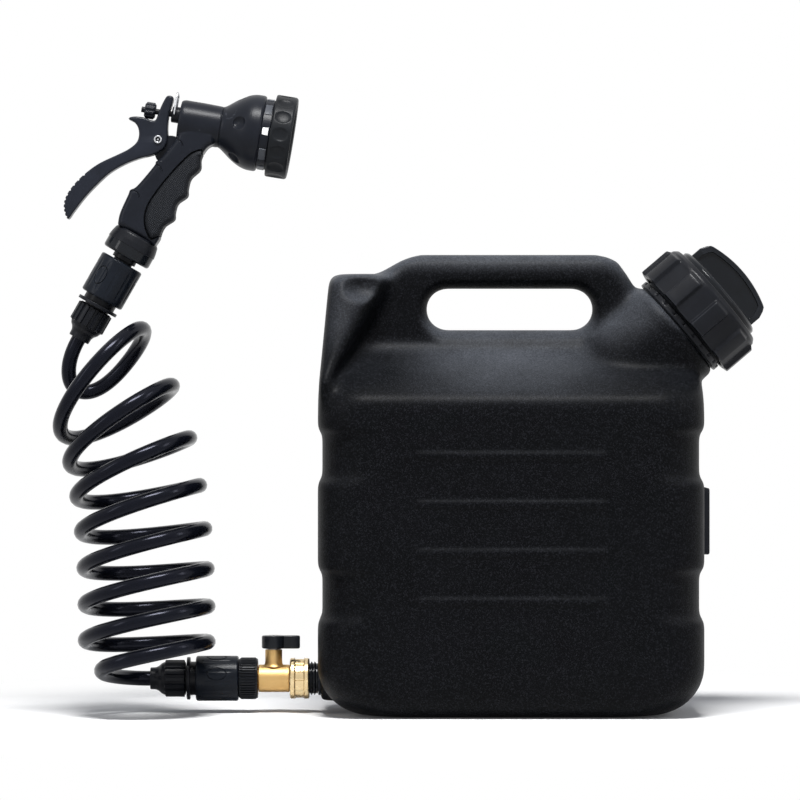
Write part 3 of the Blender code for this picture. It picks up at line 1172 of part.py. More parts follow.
# Wire bail that holds the trigger open
bail_turn = joint("bail_turn", (0, 0, -4.2 * mm), 0, stem_axis)
reach = TRIGGER_WIDTH / 2 + BAIL_WIRE + 0.6 * mm
tuck_in = 6.5 * mm + FIT
bail_points = [(0, -tuck_in, 0), (0, -reach + 0.8 * mm, 0), (-1 * mm, -reach, 0),
               (-BAIL_HEIGHT + 3 * mm, -reach, 0),
               (-BAIL_HEIGHT, -reach + 3 * mm, 0), (-BAIL_HEIGHT, reach - 3 * mm,
                                                    0), (-BAIL_HEIGHT + 3 * mm, reach, 0),
               (-1 * mm, reach, 0), (0, reach - 0.8 * mm, 0), (0, tuck_in, 0)]
own(tube(bail_points, BAIL_WIRE, 1), "hold_open_bail", ("c9cbce", 0.2, 1.0), bail_turn)

for obj in parts.objects:
    if obj.type == "MESH":
        finish(obj)
bpy.context.view_layer.update()
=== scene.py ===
"""Looks for a portable water tank with a clamped lid, a ball valve, a coiled hose and a spray gun."""
import math

import bmesh
import bpy
import numpy as np
from mathutils import Matrix, Vector


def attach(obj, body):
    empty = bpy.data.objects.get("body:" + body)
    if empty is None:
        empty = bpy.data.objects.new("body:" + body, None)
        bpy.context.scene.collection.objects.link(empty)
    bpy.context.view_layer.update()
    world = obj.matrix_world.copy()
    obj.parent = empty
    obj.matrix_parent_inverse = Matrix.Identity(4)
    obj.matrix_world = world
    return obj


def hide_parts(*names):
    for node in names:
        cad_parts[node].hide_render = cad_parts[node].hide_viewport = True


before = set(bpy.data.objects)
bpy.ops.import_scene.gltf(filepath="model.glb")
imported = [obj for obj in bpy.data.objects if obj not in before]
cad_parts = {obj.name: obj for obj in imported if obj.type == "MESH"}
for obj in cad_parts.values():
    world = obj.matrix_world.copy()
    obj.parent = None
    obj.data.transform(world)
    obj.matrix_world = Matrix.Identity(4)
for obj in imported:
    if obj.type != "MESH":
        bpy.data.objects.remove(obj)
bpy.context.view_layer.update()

# Camera, floor and light: a level view from the front, a pale floor and backdrop, and large soft lamps.
# The floor and backdrop are white to the camera and to reflections; they add no light of their own.
mm = 0.001
camera = bpy.data.objects.new("camera", bpy.data.cameras.new("camera"))
bpy.context.scene.collection.objects.link(camera)
# The camera stands 3.5 m away with a long lens, which keeps the photograph's flat view.
camera.location = (-87.6 * mm, -3.5, 249.6 * mm)
camera.rotation_euler = (math.radians(90), 0, 0)
camera.data.lens = 196.9
camera.data.sensor_width = 36
camera.data.clip_end = 50
bpy.context.scene.camera = camera
bpy.context.scene.view_settings.view_transform = "Standard"


def hex_colour(code):
    """An sRGB hex colour as linear RGBA."""
    parts = [int(code[i:i + 2], 16) / 255 for i in (1, 3, 5)]
    return (*[c / 12.92 if c <= 0.04045 else ((c + 0.055) / 1.055) ** 2.4 for c in parts], 1)


def add(tree, kind, links=(), **settings):
    """Add a node and set it up. A (socket, source) pair links a node or socket, or sets a colour or value."""
    made = tree.nodes.new("ShaderNode" + kind)
    for key, value in settings.items():
        if hasattr(made, key):
            setattr(made, key, value)
        else:
            made.inputs[key.replace("_", " ")].default_value = value
    for socket, source in links:
        if isinstance(source, bpy.types.Node):
            source = source.outputs[0]
        if isinstance(source, bpy.types.NodeSocket):
            tree.links.new(source, made.inputs[socket])
        else:
            made.inputs[socket].default_value = hex_colour(source) if isinstance(source, str) else source
    return made


def straight_rays(tree):
    """1 for camera, glossy and transmission rays, which all see white; 0 for the rest."""
    path = add(tree, "LightPath")
    seen = add(tree, "Math", [(0, path.outputs["Is Camera Ray"]), (1, path.outputs["Is Glossy Ray"])],
               operation="MAXIMUM")
    return add(tree, "Math", [(0, seen), (1, path.outputs["Is Transmission Ray"])], operation="MAXIMUM")


def new_material(name):
    """A material with only its output, and the tree to build it in."""
    made = bpy.data.materials.new(name)
    made.use_nodes = True
    made.node_tree.nodes.clear()
    return made, made.node_tree


def put(data, name):
    """Add an object to the scene."""
    obj = bpy.data.objects.new(name, data)
    bpy.context.scene.collection.objects.link(obj)
    return obj


paper, tree = new_material("matt_paper_sweep")
seen = straight_rays(tree)
place = add(tree, "NewGeometry")
away = add(tree, "VectorMath", [(0, place.outputs["Position"]), (1, (-0.03, 0, 0))], operation="DISTANCE")
fade = add(tree, "MapRange", [("Value", away.outputs["Value"])], interpolation_type="SMOOTHSTEP",
           From_Min=0.27, From_Max=0.55)
clear = add(tree, "Math", [(0, fade), (1, seen)], operation="MULTIPLY")
matt = add(tree, "BsdfDiffuse", [("Color", "#fafafa")])
lift = add(tree, "Emission", [("Strength", seen), ("Color", "#303031")])
both = add(tree, "AddShader", [(0, matt), (1, lift)])
white = add(tree, "Emission", Color=(1, 1, 1, 1), Strength=1.0)
far = add(tree, "MixShader", [(0, clear), (1, both), (2, white)])
add(tree, "OutputMaterial", [("Surface", far)])
floor_mesh = bpy.data.meshes.new("floor")
floor_mesh.from_pydata([(-9, -9, 0), (9, -9, 0), (9, 9, 0), (-9, 9, 0)], [], [(0, 1, 2, 3)])
floor_mesh.materials.append(paper)
floor = put(floor_mesh, "floor")
floor.location.z = -0.4 * mm

world = bpy.data.worlds.new("studio")
bpy.context.scene.world = world
world.use_nodes = True
tree = world.node_tree
tree.nodes.clear()
white = add(tree, "Background", Color=(1, 1, 1, 1), Strength=1.0)
ambient = add(tree, "Background", [("Color", "#aeb2ba")], Strength=0.42)
mixed = add(tree, "MixShader", [(0, straight_rays(tree)), (1, ambient), (2, white)])
add(tree, "OutputWorld", [("Surface", mixed)])

for name, place, aim, size, power in (
        ("overhead_lamp", (-0.1, -0.9, 2.0), (0, 0, 0.1), (0.8, 0.5), 58),
        ("left_lamp", (-2.2, -1.4, 1.3), (-0.1, 0, 0.25), (0.4, 1.3), 9),
        ("right_lamp", (2.0, -1.0, 1.3), (0, 0, 0.25), (0.3, 1.3), 9)):
    lamp = bpy.data.lights.new(name, "AREA")
    lamp.shape = "RECTANGLE"
    lamp.size, lamp.size_y = size
    lamp.energy = power
    holder = put(lamp, name)
    holder.location = place
    holder.rotation_euler = (Vector(aim) - Vector(place)).to_track_quat("-Z", "Y").to_euler()

# Recoil hose: one length of black polyurethane tube, heat-set into a helix that leans over at its top.
# Extruded, so it is smooth and glossy; each end runs straight into the clamp nut of a connector.
HOSE = 6 * mm
COIL_RADIUS = 48.85
CLAMP_END = -70.6 * mm
HOSE_END = -58.6 * mm
swivel_point = (-309.6, 0, 359.6)


def at_point(x, y, z, turn=0.0, axis="Y"):
    """A frame at a point in millimetres, turned about one axis by an angle in radians."""
    return Matrix.Translation((x * mm, y * mm, z * mm)) @ Matrix.Rotation(turn, 4, axis)


lower = at_point(-216.6, 0, 27, math.radians(90))
upper = at_point(*swivel_point, math.atan2(0.496, 0.868))


def coil(u):
    """Centreline of the coil, u in turns up from its lowest left bend."""
    w = max(u, 0.0) / 8
    centre = Vector((-287.4 - 47.4 * w ** 3.6, -48 + 22 * w * w, 38.7 + 26.84 * u + 0.536 * u * u)) * mm
    tip = math.radians(7.7 + 50.2 * w ** 3.6)
    nod = math.radians(5.4 + 16.4 * w ** 3.6)
    right = Vector((math.cos(tip), 0, math.sin(tip)))
    front = Vector((-math.sin(nod) * math.sin(tip), -math.cos(nod), math.sin(nod) * math.cos(tip)))
    return centre + (front * math.sin(math.tau * u) - right * math.cos(math.tau * u)) * COIL_RADIUS * mm


def lead(p0, way0, p1, way1, pull0, pull1, count):
    """A smooth bend that leaves p0 along way0 and arrives at p1 along way1."""
    q0, q1 = p0 + way0 * pull0, p1 - way1 * pull1
    steps = [k / count for k in range(count + 1)]
    return [p0 * (1 - t) ** 3 + q0 * 3 * t * (1 - t) ** 2 + q1 * 3 * t * t * (1 - t) + p1 * t ** 3
            for t in steps]


def coil_way(u):
    """The coil's direction at a turn."""
    return (coil(u + 0.001) - coil(u - 0.001)).normalized()


low_way = lower.to_3x3() @ Vector((0, 0, -1))
high_way = upper.to_3x3() @ Vector((0, 0, 1))
route = [lower @ Vector((0, 0, HOSE_END))]
route += lead(lower @ Vector((0, 0, CLAMP_END)), low_way, coil(0.2), coil_way(0.2), 30 * mm, 40 * mm, 40)
route += [coil(0.2 + 7.52 * k / 540) for k in range(1, 540)]
route += lead(coil(7.72), coil_way(7.72), upper @ Vector((0, 0, CLAMP_END)), high_way, 52 * mm, 42 * mm, 50)
route += [upper @ Vector((0, 0, HOSE_END))]

hose_gloss, tree = new_material("extruded_polyurethane")
place = add(tree, "TexCoord").outputs["Object"]
# Haze in patches about 17 mm across, and a faint ripple about 7 mm long.
haze = add(tree, "TexNoise", [("Vector", place)], Scale=60.0, Detail=4.0).outputs["Fac"]
dull = add(tree, "MapRange", [("Value", haze)], To_Min=0.14, To_Max=0.24)
tone = add(tree, "Mix", [("Factor", haze), (6, "#05060a"), (7, "#0c0e15")], data_type="RGBA")
ripple = add(tree, "TexNoise", [("Vector", place)], Scale=140.0, Detail=2.0)
bump = add(tree, "Bump", [("Height", ripple.outputs["Fac"])], Strength=0.12, Distance=0.0006)
skin = add(tree, "BsdfPrincipled", [("Base Color", tone.outputs[2]), ("Roughness", dull), ("Normal", bump),
                                    ("Specular Tint", "#d9dcf5")], Specular_IOR_Level=0.15)
add(tree, "OutputMaterial", [("Surface", skin)])


def poly_curve(name, points, radius, **settings):
    """A curve of straight steps through points in metres, with a round section."""
    made = bpy.data.curves.new(name, "CURVE")
    for key, value in {"dimensions": "3D", "bevel_depth": radius, "use_fill_caps": True, **settings}.items():
        setattr(made, key, value)
    steps = made.splines.new("POLY")
    steps.points.add(len(points) - 1)
    for point, spot in zip(steps.points, points):
        point.co = (*spot, 1)
    return made


curve = poly_curve("recoil_hose", route, HOSE, bevel_resolution=5)
curve.materials.append(hose_gloss)
hose = put(curve, "recoil_hose")
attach(hose, "tank")
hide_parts("hose_lower_lead", "hose_coil", "hose_upper_lead")

# Tank: one blow-moulded shell of black HDPE with its handle, corner block, neck boss and outlet boss.
# The mould gives a fine grain, soft edges everywhere, and grooves that fade out round the corners.
neck = at_point(139.4, 0, 311.7, math.radians(49.5))
TANK_TOP = 0.3656


def between(value, stations):
    """Read a value between (place, value) pairs, in straight steps."""
    return float(np.interp(value, [s[0] for s in stations], [s[1] for s in stations]))


def ease(t):
    """0 to 1 with a soft start and end."""
    t = min(max(t, 0.0), 1.0)
    return t * t * (3 - 2 * t)


def set_down(bm, name, frame_at=Matrix.Identity(4)):
    """Turn a mesh in the making into an object in a frame."""
    mesh = bpy.data.meshes.new(name)
    bm.to_mesh(mesh)
    bm.free()
    made = put(mesh, name)
    made.matrix_world = frame_at
    return made


def loft(rows, name):
    """A closed skin over rows of matching points."""
    bm = bmesh.new()
    made = [[bm.verts.new(p) for p in row] for row in rows]
    for low, high in zip(made, made[1:]):
        for k in range(len(low)):
            n = (k + 1) % len(low)
            bm.faces.new((low[k], low[n], high[n], high[k]))
    bm.faces.new(made[0][::-1])
    bm.faces.new(made[-1])
    bmesh.ops.recalc_face_normals(bm, faces=bm.faces)
    return set_down(bm, name)


def rounded(left, right, half, corner, z, arc=10):
    """A level section with rounded corners."""
    corner = min(corner, half - 0.5 * mm, (right - left) / 2 - 0.5 * mm)
    row = []
    for cx, cy, start in ((right - corner, half - corner, 0), (left + corner, half - corner, 90),
                          (left + corner, corner - half, 180), (right - corner, corner - half, 270)):
        for k in range(arc):
            a = math.radians(start + 90 * k / (arc - 1))
            row.append((cx + corner * math.cos(a), cy + corner * math.sin(a), z))
    return row


def tank_row(z, wall=0.0):
    """One section of the tank, or of its hollow when a wall is given."""
    h = z / mm
    groove = sum(3.4 * ease((h - low + 7) / 8) * ease((low + 39 - h) / 8) for low in (80, 189.6))
    left = -between(h, [(0, 152.5), (252, 152.5), (262, 152), (343, 144.6), (347.6, 142.5), (349.4, 139.6),
                        (350, 137.5), (350.2, 108), (352.5, 102), (356, 95.6), (361, 87), (363.6, 80),
                        (365.6, 72)])
    right = between(h, [(0, 152.5), (268, 152.5), (274, 147), (343, 98), (349, 94.4), (356, 89.4),
                        (360, 86.4), (363.6, 79), (365.6, 70)])
    half = 86 - 70 * ease((h - 246) / 51)
    if h > 347:
        half -= 12 * (1 - math.sqrt(max(0.0, 1 - ((h - 347) / 18.6) ** 2)))
    tuck = 1 - math.sqrt(max(0.0, 1 - (1 - h / 40) ** 2)) if h < 40 else 0.0
    left += groove + 42 * tuck + wall / mm
    right -= groove + 42 * tuck + wall / mm
    half -= 25 * tuck + wall / mm
    return rounded(left * mm, right * mm, half * mm, (36 + 3.2 * groove) * mm,
                   wall + z * (1 - 2 * wall / TANK_TOP))


levels = [40 * (1 - math.cos(math.radians(a))) for a in range(0, 90, 7)] + list(np.arange(41, 349, 2.5))
levels += [349.4, 350, 350.2, 352.5, 355, 358, 360, 362, 363.6, 364.8, 365.6]
shell = loft([tank_row(h * mm) for h in levels], "tank_skin")

block_rows = []
for h in np.arange(236, 350.5, 2.85):
    lean = between(h, [(236, -152), (262, -151.6), (343, -144.4), (347.6, -142.2), (349.3, -139.6),
                       (350.4, -135)])
    edge = between(h, [(236, -146), (262, -143), (270, -138), (300, -117), (328, -99), (345, -88),
                       (350.4, -92)])
    deep = between(h, [(236, 60), (262, 78), (280, 66), (300, 57), (325, 47), (343, 40), (348, 36),
                       (350.4, 30)])
    inner = min(deep - 1, 13.0)
    mid = lean + (edge - lean) * 0.68
    soft = min(12.0, (mid - lean) * 0.8)
    row = [(edge, inner), (mid + 4, deep - 4), (mid, deep - 1.2), (lean + soft, deep)]
    row += [(lean + soft - soft * math.sin(a), deep - soft + soft * math.cos(a)) for a in (0.4, 0.8, 1.2)]
    row += [(lean, deep - soft)]
    row += [(x, -y) for x, y in row[::-1]]
    block_rows.append([(x * mm, y * mm, h * mm) for x, y in row])
corner_block = loft(block_rows, "corner_block")


def disc(r, z, count=64):
    """A circle of points."""
    return [(r * mm * math.cos(math.tau * k / count), r * mm * math.sin(math.tau * k / count), z * mm)
            for k in range(count)]


def drum(name, frame_at, *sections):
    """A closed round form from (radius, height) sections along a frame's axis."""
    made = loft([disc(*section) for section in sections], name)
    made.matrix_world = frame_at
    return made


neck_boss = drum("neck_boss", neck, (38, -78), (44.3, -62), (44.6, -12), (44.2, -9.6), (42.8, -7.6),
                 (40.5, -6.9))
boss_rows = []
for d, g in ((0, 1.2), (1.2, 0), (64, 0)):
    face = ((24 - g, 13.4), (24 - g, 40.6), (21, 43.6 - g), (-21, 43.6 - g), (g - 24, 40.6), (g - 24, 13.4),
            (-21, 10.4 + g), (21, 10.4 + g))
    boss_rows.append([(-150.8 * mm + d * mm, y * mm, z * mm) for y, z in face])
outlet_boss = loft(boss_rows, "outlet_boss")


def weld(main, *others):
    """Put several closed forms into one object, in place."""
    bpy.context.view_layer.update()
    bm = bmesh.new()
    for part in (main, *others):
        part_mesh = part.data.copy()
        part_mesh.transform(part.matrix_world)
        bm.from_mesh(part_mesh)
        bpy.data.meshes.remove(part_mesh)
    for part in others:
        bpy.data.objects.remove(part, do_unlink=True)
    bmesh.ops.recalc_face_normals(bm, faces=bm.faces)
    bm.to_mesh(main.data)
    bm.free()
    main.matrix_world = Matrix.Identity(4)
    return main


def baked(obj, kind, **settings):
    """Add one modifier, then keep its result as the mesh."""
    mod = obj.modifiers.new(kind.title(), kind)
    for key, value in settings.items():
        setattr(mod, key, value)
    bpy.context.view_layer.update()
    mesh = bpy.data.meshes.new_from_object(obj.evaluated_get(bpy.context.evaluated_depsgraph_get()))
    obj.modifiers.clear()
    old = obj.data
    obj.data = mesh
    bpy.data.meshes.remove(old)
    return obj


def cut(obj, cutter, how="DIFFERENCE"):
    """Cut one form with another, which is used up."""
    baked(obj, "BOOLEAN", object=cutter, operation=how, solver="EXACT")
    bpy.data.objects.remove(cutter, do_unlink=True)
    return obj


def opening_row(y, flare):
    """Outline of the hand opening, grown by a flare in millimetres, most at its sill."""
    row = []
    for side, start in ((1, -90), (-1, 90)):
        for k in range(19):
            a = math.radians(start + 10 * k)
            grow = flare * (0.95 + 0.1 * max(0.0, -math.sin(a)))
            row.append(((side * 49.9 + (16.4 + grow) * math.cos(a)) * mm, y * mm,
                        (322 + (16.4 + grow) * math.sin(a)) * mm))
    return row


def opening(name, *flares):
    """A cutter for the hand opening from (half depth, flare) pairs, the deepest first."""
    return loft([opening_row(side * y, flare) for side, pairs in ((-1, flares), (1, flares[::-1]))
                 for y, flare in pairs], name)


def smooth_where(obj, name, weigh, passes):
    """Smooth a form by a weight from 0 to 1 that is worked out at each point."""
    group = obj.vertex_groups.new(name=name)
    for vertex in obj.data.vertices:
        weight = weigh(vertex.co)
        if weight > 0.01:
            group.add([vertex.index], weight, "REPLACE")
    baked(obj, "SMOOTH", factor=0.5, iterations=passes, vertex_group=name)


def upper_part(co):
    """Above the shoulder's foot, away from the middle plane and the neck's rim."""
    along_neck = (neck.inverted() @ co).z / mm
    return ease((co.z / mm - 230) / 20) * ease((abs(co.y) / mm - 12) / 8) * ease((-13 - along_neck) / 6)


def block_foot(co):
    """Along the corner block's inner edge."""
    spot = co / mm
    away = abs(spot.x + 92 + (345 - spot.z) * 0.5) / 15
    height = ease((spot.z - 244) / 16)
    return ease(1 - away) * height * ease((350 - spot.z) / 10) * ease((abs(spot.y) - 14) / 6)


voxel = 1.7
weld(shell, corner_block, neck_boss, outlet_boss)
baked(shell, "REMESH", mode="VOXEL", voxel_size=voxel * mm)
smooth_where(shell, "blend", upper_part, 100)
smooth_where(shell, "valley", block_foot, 130)
cut(shell, opening("hand_opening", (60, 28), (17, 9), (14, 5.6), (11, 3.4), (8, 1.7), (5, 0.5), (2, 0)))
for side in (-1, 1):
    bm = bmesh.new()
    bmesh.ops.create_uvsphere(bm, u_segments=48, v_segments=24, radius=1)
    bmesh.ops.scale(bm, verts=bm.verts, vec=(25 * mm, 20 * mm, 20 * mm))
    bmesh.ops.rotate(bm, verts=bm.verts, cent=(0, 0, 0), matrix=Matrix.Rotation(side * 0.35, 3, "X"))
    bmesh.ops.translate(bm, verts=bm.verts, vec=(-114 * mm, side * 52 * mm, 345 * mm))
    cut(shell, set_down(bm, "thumb_scoop"))
baked(shell, "REMESH", mode="VOXEL", voxel_size=voxel * mm)
baked(shell, "SMOOTH", factor=0.5, iterations=16)
spots = np.empty(len(shell.data.vertices) * 3)
shell.data.vertices.foreach_get("co", spots)
spots = spots.reshape(-1, 3)
x, y, z = spots[:, 0] / mm, spots[:, 1] / mm, spots[:, 2] / mm
for level in (92, 130, 168, 206):
    raised = np.clip((4.3 - np.abs(z - level)) / 2.8, 0, 1) * np.clip((76 - np.abs(x)) / 2.8, 0, 1)
    spots[:, 1] += np.where(np.abs(y) > 82, np.sign(y) * 1.5 * raised * mm, 0)
spots[:, 2] = np.maximum(spots[:, 2], 0)
shell.data.vertices.foreach_set("co", spots.ravel())

# The hollow keeps farther back where the shoulder is rounded off.
inside = loft([tank_row(h * mm, (3 + 6 * ease((h - 226) / 24) * ease((345 - h) / 60)) * mm)
               for h in (0, 6, 16, 40, 66, 73, 79, 84, 110, 116, 121, 130, 175, 183, 189, 194, 219, 225, 230,
                         240, 255, 270, 285, 299, 340)], "inside")
cut(inside, opening("around_opening", (90, 66), (17, 14), (8, 5)))
cut(shell, inside)
collar = drum("neck_collar", neck, (41.2, -12), (41.2, 23.4), (40.6, 24), (38, 24), (37.4, 23.6))
thread_rows = []
for k in range(96 * 3 // 2 + 1):
    a = math.tau * k / 96
    swell = min(1.0, k / 14, (144 - k) / 14)
    mid = 5 + 6 * k / 96
    crest = 41.4 + 1.3 * swell
    thread_rows.append([((r * math.cos(a)) * mm, (r * math.sin(a)) * mm, h * mm) for r, h in
                        ((40.6, mid - 1.9), (crest, mid - 0.6), (crest, mid + 0.6), (40.6, mid + 1.9))])
thread = loft(thread_rows, "neck_thread")
thread.matrix_world = neck
cut(collar, drum("collar_bore", neck, (37, -30), (37, 23.2), (38, 24.4), (38, 30)))
cut(shell, drum("throat", neck, (37, -70), (37, 23.2), (38, 24.4), (38, 30)))
outlet_at = at_point(-150.8, 0, 27, math.radians(90))
cut(shell, drum("drain", outlet_at, (6.2, -4), (6.2, 40)))
cut(shell, drum("spigot_seat", outlet_at, (10.9, -4), (10.9, 11.3)))

grained, tree = new_material("moulded_hdpe")
place = add(tree, "TexCoord").outputs["Object"]
cloud = add(tree, "TexNoise", [("Vector", place)], Scale=1000 / 45, Detail=5.0, Roughness=0.6).outputs["Fac"]
# The grain is drawn at 0.9 mm, a little coarser than the real one, so that it shows at this distance.
speck = add(tree, "TexVoronoi", [("Vector", place)], Scale=1000 / 0.9).outputs["Color"]
tone = add(tree, "Mix", [("Factor", cloud), (6, "#030405"), (7, "#08090c")], data_type="RGBA")
# The grain's glints are painted in as paler dots in the colour.
painted_grain_glints = add(tree, "MapRange", [("Value", speck)], From_Min=0.55, From_Max=1.0)
lit = add(tree, "Mix", [("Factor", painted_grain_glints), (6, tone.outputs[2]), (7, "#1d1e22")], data_type="RGBA")
# Surfaces that face up are painted paler: a painted highlight standing in for the overhead light.
shape = add(tree, "NewGeometry")
facing = add(tree, "SeparateXYZ", [(0, shape.outputs["Normal"])])
painted_top_light = add(tree, "MapRange", [("Value", facing.outputs["Z"])], interpolation_type="SMOOTHSTEP",
            From_Min=0.02, From_Max=0.92, To_Max=0.95)
patchy = add(tree, "MapRange", [("Value", cloud)], From_Min=0.3, From_Max=0.7, To_Min=0.6)
grain_in_highlight = add(tree, "MapRange", [("Value", speck)], To_Min=0.55, To_Max=1.2)
# The painted highlight on the shoulders is strongest at their middle and weaker towards the ends.
along = add(tree, "SeparateXYZ", [(0, place)])
out = add(tree, "Math", [(0, along.outputs["X"])], operation="ABSOLUTE")
ends = add(tree, "MapRange", [("Value", out)], interpolation_type="SMOOTHSTEP", From_Min=0.015, From_Max=0.1)
lower_part = add(tree, "MapRange", [("Value", along.outputs["Z"])], From_Min=0.31, From_Max=0.285)
less = add(tree, "Math", [(0, ends), (1, lower_part)], operation="MULTIPLY")
highlight_spread = add(tree, "MapRange", [("Value", less)], To_Min=1.0, To_Max=0.1)
rising = add(tree, "MapRange", [("Value", along.outputs["Z"])], interpolation_type="SMOOTHSTEP",
             From_Min=0.246, From_Max=0.29, To_Min=0.25)
for more in (patchy, grain_in_highlight, highlight_spread, rising):
    painted_top_light = add(tree, "Math", [(0, painted_top_light), (1, more)], operation="MULTIPLY")
# Mix the painted highlight on upward faces into the colour.
lit = add(tree, "Mix", [("Factor", painted_top_light), (6, lit.outputs[2]), (7, "#4e5157")], data_type="RGBA")
# Edges are painted paler: partly rubbing, partly a painted edge highlight.
edge_rub_and_highlight = add(tree, "MapRange", [("Value", shape.outputs["Pointiness"])], From_Min=0.55, From_Max=0.66,
          To_Max=0.16)
worn_and_lit = add(tree, "Mix", [("Factor", edge_rub_and_highlight), (6, lit.outputs[2]), (7, "#484b53")], data_type="RGBA")
dull = add(tree, "MapRange", [("Value", cloud)], To_Min=0.36, To_Max=0.5)
bump = add(tree, "Bump", [("Height", speck)], Strength=0.5, Distance=0.0003)
skin = add(tree, "BsdfPrincipled", [("Base Color", worn_and_lit.outputs[2]), ("Roughness", dull), ("Normal", bump)],
           Specular_IOR_Level=0.05)
add(tree, "OutputMaterial", [("Surface", skin)])
EDGE_ANGLE = math.radians(38)


def fit(obj, body, slot, material, *nodes):
    """Smooth a piece, give it its finish, hang it on its body and let it stand for its nodes."""
    obj.data.materials.clear()
    obj.data.materials.append(material)
    obj.data.shade_smooth()
    obj.data.set_sharp_from_angle(angle=EDGE_ANGLE)
    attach(obj, body)
    if nodes:
        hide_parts(*nodes)
    return obj


fit(weld(shell, collar, thread), "tank", "tank_plastic", grained, "tank_shell")
shell.name = "grained_tank_shell"

# Moulded plastics and metals: one way of making them all, each with its own tones, gloss and grain.
# Blotches of tone and gloss, and a fine mould or tool texture; a plastic's edges are painted paler, partly
# for rubbing and partly as a painted edge highlight, and a metal tarnishes in its hollows.


def finish(name, dark, pale, gloss, grain=0.7, depth=0.25, edge="#4b4e56", blotch=16, detail=2.0,
           wear_and_highlight=(0.52, 0.64, 0.3), **surface):
    """A material. Gloss is its least and most roughness, and grain and blotch are sizes in millimetres."""
    made, tree = new_material(name)
    place = add(tree, "TexCoord").outputs["Object"]
    cloud = add(tree, "TexNoise", [("Vector", place)], Scale=1000 / blotch, Detail=5.0).outputs["Fac"]
    speck = add(tree, "TexNoise", [("Vector", place)], Scale=1000 / grain, Detail=detail)
    tone = add(tree, "Mix", [("Factor", cloud), (6, dark), (7, pale)], data_type="RGBA")
    shape = add(tree, "NewGeometry")
    # On plastics, paler edges are partly rubbing and partly a painted edge highlight; on metals, darker
    # hollows are tarnish.
    ridge = add(tree, "MapRange", [("Value", shape.outputs["Pointiness"])], From_Min=wear_and_highlight[0],
                From_Max=wear_and_highlight[1], To_Max=wear_and_highlight[2])
    worn_and_lit = add(tree, "Mix", [("Factor", ridge), (6, tone.outputs[2]), (7, edge)], data_type="RGBA")
    dull = add(tree, "MapRange", [("Value", cloud)], To_Min=gloss[0], To_Max=gloss[1])
    bump = add(tree, "Bump", [("Height", speck.outputs["Fac"])], Strength=depth, Distance=0.0002)
    skin = add(tree, "BsdfPrincipled", [("Base Color", worn_and_lit.outputs[2]), ("Roughness", dull),
                                        ("Normal", bump)], **surface)
    add(tree, "OutputMaterial", [("Surface", skin)])
    return made


def plastic(*look, level=0.2, **more):
    """A moulded plastic; level is how much it mirrors."""
    return finish(*look, Specular_IOR_Level=level, **more)


def metal(*look):
    """A turned or cast metal, tarnished in its hollows."""
    return finish(*look, blotch=7, detail=3.0, wear_and_highlight=(0.49, 0.4, 0.75), Metallic=1.0)


satin = plastic("satin_polypropylene", "#0c0d11", "#16181d", (0.28, 0.4), level=0.13)
gloss = plastic("gloss_abs", "#0c0e11", "#15181d", (0.1, 0.2), 6, 0.1, level=0.18)
matt_rubber = plastic("matt_rubber", "#0d0e11", "#191a1e", (0.6, 0.75), 0.5, 0.5, level=0.1)
pale_seat = plastic("white_ptfe", "#d6d5cd", "#eceae4", (0.35, 0.5), edge="#f4f3ef", level=0.4)
polished_brass = metal("polished_brass", "#cdb184", "#e6d3a8", (0.22, 0.32), 3.0, 0.08, "#7c5c30")
cast_brass = metal("cast_brass", "#b99259", "#cfae77", (0.36, 0.5), 0.55, 0.55, "#7a552c")
bright_steel = metal("bright_steel", "#b9bbbf", "#dcdde0", (0.12, 0.24), 1.5, 0.08, "#5f6166")
chrome = metal("chromed_brass", "#c9cacd", "#e2e3e5", (0.05, 0.12), 3.0, 0.03, "#77797e")


def softened(profile, soft):
    """Round the corners of a ring of (radius, height) points, leaving points on the axis alone."""
    line = []
    for i, spot in enumerate(profile):
        here, back, ahead = Vector(spot), Vector(profile[i - 1]), Vector(profile[(i + 1) % len(profile)])
        if here.x < 0.001:
            line.append(here)
            continue
        reach = min(soft, (back - here).length * 0.4, (ahead - here).length * 0.4)
        a, b = (back - here).normalized(), (ahead - here).normalized()
        line.append(here + a * reach * 1.2)
        line += [here + a * reach * (1 - t) ** 2 + b * reach * t * t for t in (0, 0.25, 0.5, 0.75, 1)]
        line.append(here + b * reach * 1.2)
    return line


def lathe(name, profile, frame_at, steps=160, soft=0.4, fine=None, ripple=None):
    """Turn (radius, height) points in millimetres about a frame's Z. Fine is the most room between rings
    in millimetres, and ripple gives a change of radius."""
    line = softened(profile, soft)
    if fine:
        dense = []
        for i, spot in enumerate(line):
            ahead = line[(i + 1) % len(line)]
            dense.append(spot)
            if spot.x > 0.001 and ahead.x > 0.001:
                parts = int((ahead - spot).length / fine)
                dense += [spot.lerp(ahead, k / (parts + 1)) for k in range(1, parts + 1)]
        line = dense
    points, rings = [], []
    for r, h in line:
        if r < 0.001:
            rings.append([len(points)] * steps)
            points.append((0, 0, h * mm))
            continue
        rings.append(list(range(len(points), len(points) + steps)))
        for k in range(steps):
            a = math.tau * k / steps
            far = r + (ripple(a, r, h) if ripple else 0.0)
            points.append((far * math.cos(a) * mm, far * math.sin(a) * mm, h * mm))
    faces = []
    for low, high in zip(rings, rings[1:] + rings[:1]):
        for k in range(steps):
            n = (k + 1) % steps
            corner = [low[k], low[n], high[n], high[k]]
            corner = [c for j, c in enumerate(corner) if c not in corner[:j]]
            if len(corner) > 2:
                faces.append(corner)
    mesh = bpy.data.meshes.new(name)
    mesh.from_pydata(points, [], faces)
    bm = bmesh.new()
    bm.from_mesh(mesh)
    bmesh.ops.recalc_face_normals(bm, faces=bm.faces)
    bm.to_mesh(mesh)
    bm.free()
    obj = put(mesh, name)
    obj.matrix_world = frame_at
    return obj


